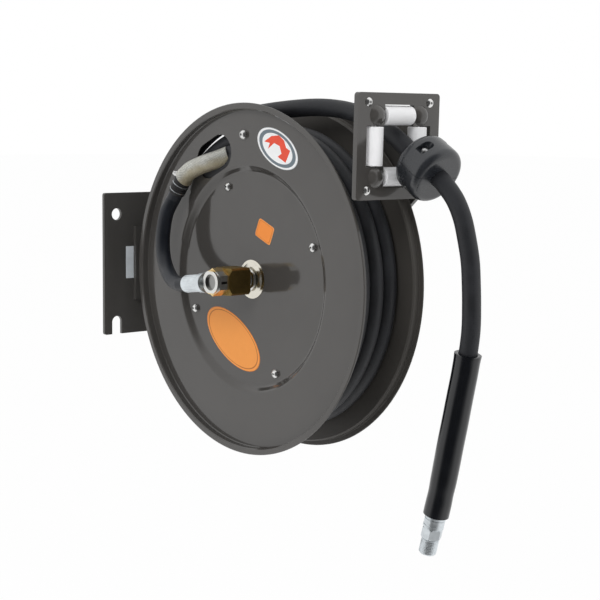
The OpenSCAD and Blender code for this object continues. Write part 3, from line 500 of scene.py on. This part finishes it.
# plastic sleeve, slid over the hose's last third; its upper mouth is a little wider
sleeveLine = smoothLine(fromAxle(freePoints[hangingHose["sleeveFrom"]:]), 10)
sleeveLine, sleeveAlong = evenLine(sleeveLine, 220)
heading, side, up = carriedFrames(sleeveLine)
turnAngle = np.arange(72) * 2 * np.pi / 72
share = sleeveAlong / sleeveAlong[-1]
swell = 1 + 0.03 * np.exp(-(share / 0.03) ** 2) - 0.01 * np.sin(7 * share + 1) \
    - 0.03 * np.exp(-((share - 0.86) / 0.05) ** 2)
outerR = (hangingHose["sleeveRadius"] * mm * swell)[:, None]
innerR = np.array([[(hangingHose["radius"] + hangingHose["sleeveGap"]) * mm]])
outerGrid = roundLine(sleeveLine, outerR, turnAngle, side, up)
innerGrid = roundLine(sleeveLine, innerR, turnAngle, side, up)
lipFirst = 0.5 * (outerGrid[:1] + innerGrid[:1]) - heading[0] * 0.0008
lipLast = 0.5 * (outerGrid[-1:] + innerGrid[-1:]) + heading[-1] * 0.0006
loop = np.concatenate([outerGrid, lipLast, innerGrid[::-1], lipFirst])
endSleeve = skin("endSleeve", loop,
                 np.concatenate([sleeveAlong, [sleeveAlong[-1]], sleeveAlong[::-1], [0]]),
                 ringed=True, crease=60)
dress(endSleeve, sleevePlastic, "frame", "sleeve_plastic", "end_sleeve")

# crimped ferrule and threaded end
hoseEnd = {"ferruleRadius": 11.2, "ferruleLength": 15.0, "hexAcross": 23.0, "hexLength": 12.0,
           "threadRadius": 9.5, "threadPitch": 1.81, "threadDepth": 0.55, "bore": 4.75}
endAt = fromAxle(freePoints[-1])
endPlace = lookAlong(endAt, freePoints[-1] - freePoints[-2])


def crimped(r, h, a):
    # eight flats pressed into the ferrule's middle
    pressed = np.clip(1 - np.abs(h / mm - 7.5) / 5.0, 0, 1) ** 0.5
    return r - np.where(r > 10 * mm, pressed * 0.35 * mm * (0.5 + 0.5 * np.cos(8 * a)), 0)


fr, tr, bore = hoseEnd["ferruleRadius"], hoseEnd["threadRadius"], hoseEnd["bore"]
hexTop = hoseEnd["ferruleLength"]
hexLow = hexTop + hoseEnd["hexLength"]
ferruleOutline = [(6.2, 0), (fr - 0.6, 0), (fr, 0.6)] + [(fr, h) for h in np.linspace(1, 3, 4)] + \
    [(fr - 0.5, 3.4), (fr - 0.5, 4.2), (fr, 4.6)] + [(fr, h) for h in np.linspace(5, 10, 8)] + \
    [(fr - 0.5, 10.4), (fr - 0.5, 11.2), (fr, 11.6), (fr, 14.2), (fr - 0.7, 15.0), (6.2, 15.0)]
endFerrule = turned("endFerrule", ferruleOutline, 96, endPlace, crimped, True)
dress(endFerrule, zincPlate, "frame", "zinc", "end_ferrule")


def hexAndThread(r, h, a):
    # six flats with chamfered corners, then a spiral thread that fades at both ends
    across = hoseEnd["hexAcross"] * 0.5 * mm * math.cos(math.pi / 6)
    flat = across / np.cos((a + math.pi / 6) % (math.pi / 3) - math.pi / 6)
    inHex = (h / mm > hexTop - 0.01) & (h / mm < hexLow + 0.01) & (r > 9.9 * mm)
    inset = np.minimum(h / mm - hexTop, hexLow - h / mm)
    cap = (hoseEnd["hexAcross"] * 0.5 - np.clip(1.3 - inset, 0, 1.3) * 0.9) * mm
    r = np.where(inHex, np.minimum(np.minimum(flat, cap), r), r)
    start, stop = hexLow + 1.2, hexLow + 17.2
    fade = np.clip(np.minimum(h / mm - start, stop - h / mm) / 1.2, 0, 1)
    saw = np.abs(((h / mm) / hoseEnd["threadPitch"] - a / (2 * np.pi)) % 1 - 0.5) * 2
    onThread = (r > 8.0 * mm) & (h / mm > start) & (h / mm < stop)
    return np.where(onThread, r - fade * saw * hoseEnd["threadDepth"] * mm, r)


fittingOutline = [(bore, 2), (6.0, 2), (6.0, hexTop), (9.6, hexTop)] + \
    [(11.5, h) for h in np.linspace(hexTop, hexLow, 25)] + \
    [(9.4, hexLow), (8.9, hexLow + 0.5), (8.9, hexLow + 1.0)] + \
    [(tr, h) for h in np.linspace(hexLow + 1.2, hexLow + 17, 140)] + \
    [(tr - 1.2, hexLow + 18.4), (6.4, hexLow + 18.4), (bore, hexLow + 16.5)]
endFitting = turned("endFitting", fittingOutline, 120, endPlace, hexAndThread, True, 28)
dress(endFitting, zincPlate, "frame", "zinc", "end_fitting")

print("hanging end done")

# hose from the drum through the guide
leadLine = smoothLine(fromAxle(leadPoints), 8)
leadHose = tube("leadHose", leadLine, hoseRadius, 560, 64)
dress(leadHose, hoseBlack, "frame", "black_rubber", "lead_hose")

# hose on the drum
winding = {"lane0": -16.6, "pitch": 20.4, "from": 285.0, "crossFrom": 220.0, "crossSpan": 60.0,
           "turnRings": 24, "turns": 3, "ringsShort": 5, "lower": 148.3, "lowerRadius": 9.7}


def laneX(degrees):
    # a turn keeps its lane, then steps over by one pitch on a cosine ramp
    t = np.clip((degrees % 360 - winding["crossFrom"]) / winding["crossSpan"], 0, 1)
    return winding["lane0"] + winding["pitch"] * (np.floor(degrees / 360) + (1 - np.cos(np.pi * t)) / 2 - 1)


def windHeading(degrees):
    # which way the hose runs round the drum at this angle
    return np.array([0, math.sin(math.radians(degrees)), math.cos(math.radians(degrees))])


ringCount = winding["turns"] * winding["turnRings"] - winding["ringsShort"]
windEnd = winding["from"] + ringCount * 360 / winding["turnRings"]
sweep = np.arange(winding["from"], windEnd + 0.01, 2.5)
layerR = routes["layerRadius"]
woundLine = np.column_stack([laneX(sweep), -layerR * np.cos(np.radians(sweep)),
                             layerR * np.sin(np.radians(sweep))])
# both ends run straight on for one hose diameter
tailFirst = woundLine[0] - 2 * hangingHose["radius"] * windHeading(sweep[0])
tailLast = woundLine[-1] + 2 * hangingHose["radius"] * windHeading(sweep[-1])
woundLine = fromAxle(np.vstack([tailFirst, woundLine, tailLast]))
woundHose = tube("woundHose", woundLine, hoseRadius, 1500, 48)
dress(woundHose, hoseBlack, "drum", "black_rubber", "wound_hose")

# the turns below show between the outer ones as a ribbed round body
coreHalf, coreLow = 34.2, 119.7
laneMiddles = winding["lane0"] + winding["pitch"] * (np.arange(-1, 3) + 0.5)
coreX = np.linspace(-coreHalf, coreHalf, 161)
ribs = [winding["lower"] + np.sqrt(np.clip(winding["lowerRadius"] ** 2 - (coreX - m) ** 2, 0, None))
        for m in laneMiddles]
coreTop = np.maximum(np.max(ribs, axis=0), winding["lower"] - 4.0)
coreTop = np.where(np.abs(coreX) > 33.4, np.minimum(coreTop, 146.0), coreTop)
coreOutline = [(coreLow, -27.9), (coreLow + 3.0, -27.9), (133.0, -34.2)] + list(zip(coreTop, coreX)) + \
    [(133.0, 34.2), (coreLow + 3.0, 27.9), (coreLow, 27.9)]
lowerTurns = turned("lowerTurns", coreOutline, 240, lookAlong(axleAt, (1, 0, 0), (0, 0, 1)), None, True, 60)
dress(lowerTurns, hoseBlack, "drum", "black_rubber", "hose_core")
print("hoses done")

# short hose between the swivel and the drum, with its crimp and braided sleeve
jumperRoute = {"radius": 8.5, "braidRadius": 10.4, "mouthLean": 0.3, "mouthAt": 0.008}
jumperPoints = [(-84, 52.2, -6.4), (-84, 63.5, -7.8), (-78, 85.5, -5.9), (-69, 108, 2.4),
                (-64.5, 121.5, 15.3), (-61.5, 128.4, 31.7), (-59.5, 129.5, 50.4), (-57.5, 125.7, 71),
                (-53, 119, 87), (-51, 107, 105)]
braidPoints = [(-51, 107, 105), (-50, 101, 114), (-48, 93, 121), (-45.5, 82, 126), (-41, 69, 131),
               (-35.5, 58.4, 134.8), (-31.3, 52, 137.8), (-27.1, 45.6, 140.8)]
jumperLine = smoothLine(fromAxle(jumperPoints), 10)
jumperHose = tube("jumperHose", jumperLine,
                  lambda share, a: jumperRoute["radius"] * mm * (1 + 0.004 * np.sin(17 * share + a)),
                  300, 64)
dress(jumperHose, jumperBlack, "drum", "black_rubber", "jumper_hose")


def braidRadius(share, angle):
    # the hose's round with a flared mouth and the wires' crossing bumps
    mouth = 0.05 * np.exp(-(share / 0.06) ** 2) - 0.015 * np.exp(-((share - 0.14) / 0.06) ** 2)
    bumps = 0.004 * np.sin(28 * angle + 170 * share) * np.sin(28 * angle - 170 * share)
    return jumperRoute["braidRadius"] * mm * (1 + mouth + bumps)


braidLine, braidAlong = evenLine(softened(smoothLine(fromAxle(braidPoints), 10), 4), 400)
covered = braidAlong > jumperRoute["mouthAt"]
braidLine, braidAlong = evenLine(braidLine[covered], 340)
heading, side, up = carriedFrames(braidLine)
turnAngle = np.arange(112) * 2 * np.pi / 112
share = (braidAlong / braidAlong[-1])[:, None]
braidR = braidRadius(share, turnAngle[None, :])
radial = np.cos(turnAngle)[None, :, None] * side[:, None] + np.sin(turnAngle)[None, :, None] * up[:, None]
grid = braidLine[:, None] + braidR[..., None] * radial
# the mouth is cut on a slant: rings near it are pushed along the heading on the outer side
outward = np.clip((radial @ np.array([0.1, 0.75, 0.55])), -1, 1)
nearMouth = np.clip(1 - share / 0.35, 0, 1)
push = jumperRoute["mouthLean"] * jumperRoute["braidRadius"] * mm * outward * nearMouth
grid = grid + push[..., None] * heading[:, None]
braidedSleeve = skin("braidedSleeve", grid, braidAlong, crease=60)
dress(braidedSleeve, braidWire, "drum", "braid", "braided_sleeve")

jumperEnd = np.array(jumperPoints[-1], float)
crimpAt = lookAlong(fromAxle(jumperEnd), np.array(jumperPoints[-2], float) - jumperEnd)
bandOutline = [(8.6, -9.6), (9.6, -9.4), (9.9, -8.8), (9.9, -1.0), (9.4, -0.6), (9.4, 0.4),
               (10.0, 0.8), (10.0, 3.2), (9.5, 3.6), (9.5, 4.0), (10.0, 4.4), (10.0, 7.6),
               (9.4, 8.0), (9.4, 9.0), (9.9, 9.4), (9.9, 11.6), (9.4, 12.6), (8.6, 12.8)]
crimpBand = turned("crimpBand", bandOutline, 96, crimpAt, None, True)
dress(crimpBand, sealRubber, "drum", "black_rubber", "jumper_clamp")
crimpRings = {"radius": 9.75, "wire": 0.4, "heights": (-0.1, 8.5)}
ringAngle = np.linspace(0, 2 * np.pi, 24, endpoint=False)
for number, height in enumerate(crimpRings["heights"], 1):
    ringOutline = [(crimpRings["radius"] + crimpRings["wire"] * math.cos(a),
                    height + crimpRings["wire"] * math.sin(a)) for a in ringAngle]
    ring = turned("crimpRing" + str(number), ringOutline, 96, crimpAt, None, True, 60)
    dress(ring, zincPlate, "drum", "zinc")

# the clamp's small screw with its lug, on the outer side
clampLug = {"offset": (-0.4, 5.5, 11.5), "towards": (-0.35, 0.86, 0.37), "headRadius": 2.9,
            "headFrom": 2.6}
lugPlace = lookAlong(fromAxle(jumperEnd + clampLug["offset"]), clampLug["towards"])
lugOutline = [(0, -1.0), (3.6, -1.0), (3.6, 2.4), (3.2, 2.8), (2.9, 2.8), (2.9, 5.2), (2.6, 5.6),
              (1.3, 5.9), (1.2, 5.0), (0, 5.0)]


def hexTip(r, h, a):
    # six flats on the screw's head
    flat = clampLug["headRadius"] * mm * math.cos(math.pi / 6) / np.cos((a % (math.pi / 3)) - math.pi / 6)
    return np.where(h > clampLug["headFrom"] * mm, np.minimum(r, flat), r)


clampScrew = turned("clampScrew", lugOutline, 48, lugPlace, hexTip)
dress(clampScrew, brightSteel, "drum", "bright_steel")

# ribbed ferrule of the short hose
outlet = {"x": -84, "dip": math.radians(7)}
outletPlace = Matrix.Translation(Vector(axleAt) + Vector((outlet["x"] * mm, 0, 0))) @ \
    lookAlong((0, 0, 0), (0, math.cos(outlet["dip"]), -math.sin(outlet["dip"])))


def ribbed(r, h, a):
    # sixteen shallow pressed grooves along the barrel
    onBarrel = np.clip(np.minimum(h / mm - 25.5, 49.5 - h / mm) / 1.5, 0, 1)
    groove = np.clip((np.cos(16 * a) - 0.2) / 0.8, 0, 1)
    return np.where(r > 9 * mm, r - onBarrel * groove * 0.5 * mm, r)


barrelOutline = [(6.6, 16.4), (11.0, 16.4), (11.5, 16.9), (11.5, 23.4), (11.0, 24.0), (10.2, 24.4)] + \
    [(10.2, h) for h in np.linspace(25, 50, 26)] + \
    [(10.1, 51.2), (9.6, 52.1), (8.6, 52.5), (4.6, 52.5), (4.6, 19.2), (6.6, 19.2)]
jumperFerrule = turned("jumperFerrule", barrelOutline, 128, outletPlace, ribbed, True)
dress(jumperFerrule, zincPlate, "drum", "zinc", "jumper_ferrule")

# polished neck between the swivel's body and the hub
hubNeck = {"from": 34.4, "to": 39.0, "outer": 13.6, "bore": 10.56}
ringProfile = [(hubNeck["bore"], hubNeck["from"]), (hubNeck["outer"] - 1.6, hubNeck["from"]),
               (hubNeck["outer"], hubNeck["from"] + 0.8), (hubNeck["outer"], hubNeck["to"] - 1.6),
               (hubNeck["outer"] - 0.8, hubNeck["to"] - 0.6), (hubNeck["outer"] - 2.2, hubNeck["to"]),
               (hubNeck["bore"], hubNeck["to"])]
neckRing = turned("neckRing", ringProfile, 96, lookAlong(axleAt, (-1, 0, 0), (0, 0, 1)), None, True)
dress(neckRing, axleSteel, "drum", "bright_steel")
print("short hose done")


# stickers: a superellipse sheet with a rounded edge, on a plane x = -height
def sticker(name, half, power, height, middle, tilt, thick=0.3):
    # the rim's distance at angle a is (|cos a / w|^n + |sin a / h|^n)^(-1/n)
    angle = np.arange(144) * 2 * np.pi / 144
    rim = (np.abs(np.cos(angle) / half[0]) ** power
           + np.abs(np.sin(angle) / half[1]) ** power) ** (-1 / power)
    share = np.array([0.12, 0.3, 0.5, 0.7, 0.85, 0.94, 0.985, 1.0, 1.0])
    level = np.array([1, 1, 1, 1, 1, 1, 1, 0.55, 0.0]) * thick
    u = share[:, None] * rim[None, :] * np.cos(angle)[None, :]
    v = share[:, None] * rim[None, :] * np.sin(angle)[None, :]
    t = math.radians(tilt)
    grid = np.stack([-height - level[:, None] + 0 * u,
                     middle[0] + u * math.cos(t) - v * math.sin(t),
                     middle[1] + u * math.sin(t) + v * math.cos(t)], -1)
    piece = skin(name, fromAxle(grid)[:, ::-1], share, crease=30)
    local = np.stack([u / half[0], v / half[1]], -1)[:, ::-1].reshape(-1, 2)
    local = np.concatenate([local, np.zeros((2, 2))])
    corner = np.zeros(len(piece.data.loops), np.int32)
    piece.data.loops.foreach_get("vertex_index", corner)
    piece.data.uv_layers[0].data.foreach_set("uv", local[corner].astype(np.float32).ravel())
    return piece


def stickerFinish(name, field, edge, bands, power, rough=0.35):
    # printed film: bands of colour between shares of the rim's distance, a little ink mottle, scuffed
    f = Finish(name, Specular_IOR_Level=0.35)
    x, y, _ = f.parts(f.along)
    q = (f.maths("ABSOLUTE", x) ** power + f.maths("ABSOLUTE", y) ** power) ** (1 / power)
    tone = f.colours(f.noise(f.place, 160, 3), [c * 0.96 for c in field], [min(c * 1.03, 1) for c in field])
    for low, high, colour in bands:
        band = f.ramp(q, low - 0.008, low + 0.008) * (1 - f.ramp(q, high - 0.008, high + 0.008))
        tone = f.colours(band, tone, colour)
    tone = f.colours(f.ramp(q, 0.975, 0.99), tone, edge)
    scuff = f.ramp(f.noise(f.stretched(f.place, (30, 260, 40), (0.3, 0, 0)), 4, 4), 0.62, 0.7)
    tone = f.colours(scuff * 0.12, tone, [c * 0.7 for c in field])
    f.relief(f.noise(f.place, 700, 2), 0.00001)
    return f.use(Base_Color=tone, Roughness=rough + scuff * 0.2)


labels = {"arrowRadius": 157.4, "arrowTowards": (-0.3145, 0.9492), "arrowTilt": 24.5, "arrowScale": 0.98,
          "ovalAt": (34, -72.4), "ovalTilt": 29.1, "smallAt": (-21.5, 55.6), "smallTilt": 23.0,
          "faceHeight": 36.0, "floorHeight": 30.0, "inkLift": 0.36, "inkThick": 0.1}
arrowAt = np.array(labels["arrowTowards"]) * labels["arrowRadius"]
arrowFilm = stickerFinish("arrowFilm", (0.97, 0.98, 0.99), (0.55, 0.58, 0.6),
                          [(0.74, 0.9, (0.16, 0.2, 0.23))], 2)
ovalFilm = stickerFinish("ovalFilm", (1.0, 0.37, 0.075), (0.85, 0.26, 0.04),
                         [(0.9, 0.93, (0.5, 0.15, 0.03))], 2)
smallFilm = stickerFinish("smallFilm", (1.0, 0.31, 0.05), (1.0, 0.5, 0.2),
                          [(0.84, 0.88, (0.55, 0.14, 0.03))], 9)
arrowLabel = sticker("arrowLabel", (36.8, 19.3), 2, labels["faceHeight"], arrowAt, labels["arrowTilt"])
dress(arrowLabel, arrowFilm, "drum", "white_label", "arrow_label")
ovalLabel = sticker("ovalLabel", (53.7, 26.7), 2, labels["floorHeight"], labels["ovalAt"],
                    labels["ovalTilt"])
dress(ovalLabel, ovalFilm, "drum", "orange_label", "oval_label")
smallLabel = sticker("smallLabel", (14.2, 10.85), 9, labels["floorHeight"], labels["smallAt"],
                     labels["smallTilt"])
dress(smallLabel, smallFilm, "drum", "orange_label", "small_label")

# plain turning arrow on the round label: a curved band with a notched tail
outline = np.array([(24.0, -2.4), (15.2, 8.3), (4.0, 14.6), (-6.6, 13.2), (-13.4, 7.2),
                    (-21.0, 7.2), (-19.6, -8.2), (-4.4, -8.0), (-9.0, -2.0), (-2.4, 4.2),
                    (7.6, 3.4), (14.4, -7.0), (14.4, 0.2)]) * labels["arrowScale"]
tagFilm = plastic("tagFilm", (0.74, 0.79, 0.83), 0.4, 500, 0.00001, 0.08)
redInk = plastic("redInk", (0.86, 0.09, 0.045), 0.4, 300, 0.00001, 0.04)
t = math.radians(labels["arrowTilt"])
spots = np.column_stack([outline[:, 0] * math.cos(t) - outline[:, 1] * math.sin(t),
                         outline[:, 0] * math.sin(t) + outline[:, 1] * math.cos(t)]) + arrowAt
count = len(spots)
topSheet = np.column_stack([np.full(count, -labels["faceHeight"] - labels["inkLift"]), spots])
lowSheet = topSheet + (labels["inkThick"], 0, 0)
ring = np.arange(count)
sides = np.stack([ring, (ring + 1) % count, (ring + 1) % count + count, ring + count], -1)
turnArrow = putMesh("turnArrow", fromAxle(np.vstack([topSheet, lowSheet])),
                    [sides, ring[None, ::-1], (ring + count)[None, :]])
dress(turnArrow, redInk, "drum", "white_label")
print("labels done")

# carried-over solids and their finishes
finishOf = {
    "base_plate": litArmPaint, "support_arm": litArmPaint, "guide_arm": litArmPaint, "guide_plate": greyPaint,
    "near_disc": greyPaint, "far_disc": shadedFarPaint, "drum_core": litArmPaint, "spring_case": litArmPaint,
    "foot_rivets": plainSteel, "arm_bolts": plainSteel, "roller_pins": plainSteel,
    "axle_washer": plainSteel, "axle_nut": plainSteel, "spring_arbor": plainSteel,
    "pawl": plainSteel, "pawl_pin": plainSteel, "pawl_spring": springSteel,
    "ratchet_wheel": plainSteel, "power_spring": springSteel, "disc_nuts": plainSteel,
    "stop_bolts": plainSteel, "stop_nuts": plainSteel, "guide_screws": brightSteel, "axle": axleSteel,
    "disc_screws": brightSteel, "annulus_bolt": brightSteel, "hub_flange": hubSteel,
    "swivel_body": oliveBrass, "swivel_elbow": nickelPlate,
    "inlet_fitting": paleBrass, "near_bearing": bearingPlastic, "far_bearing": bearingPlastic,
    "roller_left": rollerPlastic, "roller_right": rollerPlastic, "roller_top": rollerPlastic,
    "roller_bottom": rollerPlastic, "inlet_seal": sealRubber, "swivel_seals": sealRubber,
    "hose_stop_upper": stopPlastic, "hose_stop_lower": stopPlastic, "maker_tag": tagFilm,
    "jumper_hose": jumperBlack}
for name, material in finishOf.items():
    if not nodes[name].hide_render:
        nodes[name].data.materials.clear()
        nodes[name].data.materials.append(material)
print("solids dressed")


# room: pale floor far below, white all round, a broad light from the left and softer ones
room = {"floorDrop": 0.35, "floorSize": 30.0, "floorTone": 0.9, "floorShare": 0.98,
        "key": 30.0, "fill": 16.0, "top": 8.0, "world": 0.5,
        "darkSide": (-0.65, -0.755, 0.1), "darkFrom": 0.45, "darkTo": 0.8, "darkLevel": 0.06}


def behindLens(tree, direction):
    # 1 all round, falling to the dark level where the direction points behind the lens
    facing = tree.nodes.new("ShaderNodeVectorMath")
    facing.operation = "DOT_PRODUCT"
    facing.inputs[1].default_value = room["darkSide"]
    dark = tree.nodes.new("ShaderNodeMapRange")
    dark.interpolation_type = "SMOOTHSTEP"
    for key, value in (("From Min", room["darkFrom"]), ("From Max", room["darkTo"]),
                       ("To Min", 1.0), ("To Max", room["darkLevel"])):
        dark.inputs[key].default_value = value
    tree.links.new(direction, facing.inputs[0])
    tree.links.new(facing.outputs["Value"], dark.inputs["Value"])
    return dark.outputs[0]


def larger(tree, one, two):
    more = tree.nodes.new("ShaderNodeMath")
    more.operation = "MAXIMUM"
    tree.links.new(one, more.inputs[0])
    tree.links.new(two, more.inputs[1])
    return more.outputs[0]


def roomMaterial(name, tone, share):
    # what the camera sees is mostly white, and the rest is lit, so that shadows still show;
    # reflections find it white too, but for the part behind the lens
    made = bpy.data.materials.new(name)
    made.use_nodes = True
    tree = made.node_tree
    tree.nodes.clear()
    plain = tree.nodes.new("ShaderNodeBsdfDiffuse")
    plain.inputs["Color"].default_value = (tone, tone, tone, 1)
    glow = tree.nodes.new("ShaderNodeEmission")
    glow.inputs["Color"].default_value = (1, 1, 1, 1)
    path = tree.nodes.new("ShaderNodeLightPath")
    place = tree.nodes.new("ShaderNodeTexCoord")
    heading = tree.nodes.new("ShaderNodeVectorMath")
    heading.operation = "NORMALIZE"
    part = tree.nodes.new("ShaderNodeMath")
    part.operation = "MULTIPLY"
    part.inputs[1].default_value = share
    mix = tree.nodes.new("ShaderNodeMixShader")
    exitNode = tree.nodes.new("ShaderNodeOutputMaterial")
    tree.links.new(place.outputs["Object"], heading.inputs[0])
    bright = larger(tree, behindLens(tree, heading.outputs[0]), path.outputs["Is Camera Ray"])
    tree.links.new(bright, glow.inputs["Strength"])
    either = larger(tree, path.outputs["Is Camera Ray"], path.outputs["Is Glossy Ray"])
    tree.links.new(either, part.inputs[0])
    tree.links.new(part.outputs[0], mix.inputs[0])
    tree.links.new(plain.outputs[0], mix.inputs[1])
    tree.links.new(glow.outputs[0], mix.inputs[2])
    tree.links.new(mix.outputs[0], exitNode.inputs[0])
    return made


floorZ = cadLow.z - room["floorDrop"]
half = room["floorSize"]
floorCorners = [(-half, -half, floorZ), (half, -half, floorZ), (half, half, floorZ), (-half, half, floorZ)]
floor = putMesh("floor", floorCorners, [np.array([[0, 1, 2, 3]])])
floor.data.materials.append(roomMaterial("paleFloor", room["floorTone"], room["floorShare"]))

world = bpy.data.worlds.new("world")
bpy.context.scene.world = world
world.use_nodes = True
sky = world.node_tree
sky.nodes.clear()
lit = sky.nodes.new("ShaderNodeBackground")
lit.inputs["Color"].default_value = (1, 1, 1, 1)
lit.inputs["Strength"].default_value = room["world"]
seen = sky.nodes.new("ShaderNodeBackground")
seen.inputs["Color"].default_value = (1, 1, 1, 1)
rays = sky.nodes.new("ShaderNodeLightPath")
where = sky.nodes.new("ShaderNodeTexCoord")
mixed = sky.nodes.new("ShaderNodeMixShader")
skyExit = sky.nodes.new("ShaderNodeOutputWorld")
white = larger(sky, behindLens(sky, where.outputs["Generated"]), rays.outputs["Is Camera Ray"])
sky.links.new(white, seen.inputs["Strength"])
either = larger(sky, rays.outputs["Is Camera Ray"], rays.outputs["Is Glossy Ray"])
sky.links.new(larger(sky, either, rays.outputs["Is Transmission Ray"]), mixed.inputs[0])
sky.links.new(lit.outputs[0], mixed.inputs[1])
sky.links.new(seen.outputs[0], mixed.inputs[2])
sky.links.new(mixed.outputs[0], skyExit.inputs[0])


def softLight(name, place, target, size, power):
    data = bpy.data.lights.new(name, "AREA")
    data.shape, data.size, data.size_y, data.energy = "RECTANGLE", size[0], size[1], power
    lamp = bpy.data.objects.new(name, data)
    bpy.context.scene.collection.objects.link(lamp)
    lamp.location = place
    lamp.visible_glossy = False
    lamp.rotation_mode = "QUATERNION"
    lamp.rotation_quaternion = (Vector(target) - Vector(place)).to_track_quat("-Z", "Y")


middle = (0, -0.25, 0)
softLight("keyLight", (-2.4, -1.2, 1.6), middle, (1.2, 1.2), room["key"])
softLight("fillLight", (0.5, -3.0, 0.8), middle, (2.0, 2.0), room["fill"])
softLight("topLight", (-0.4, -0.6, 2.6), middle, (2.0, 2.0), room["top"])

scene = bpy.context.scene
scene.view_settings.view_transform = "Standard"
print("cad", [round(v, 4) for v in (*cadLow, *cadHigh)])
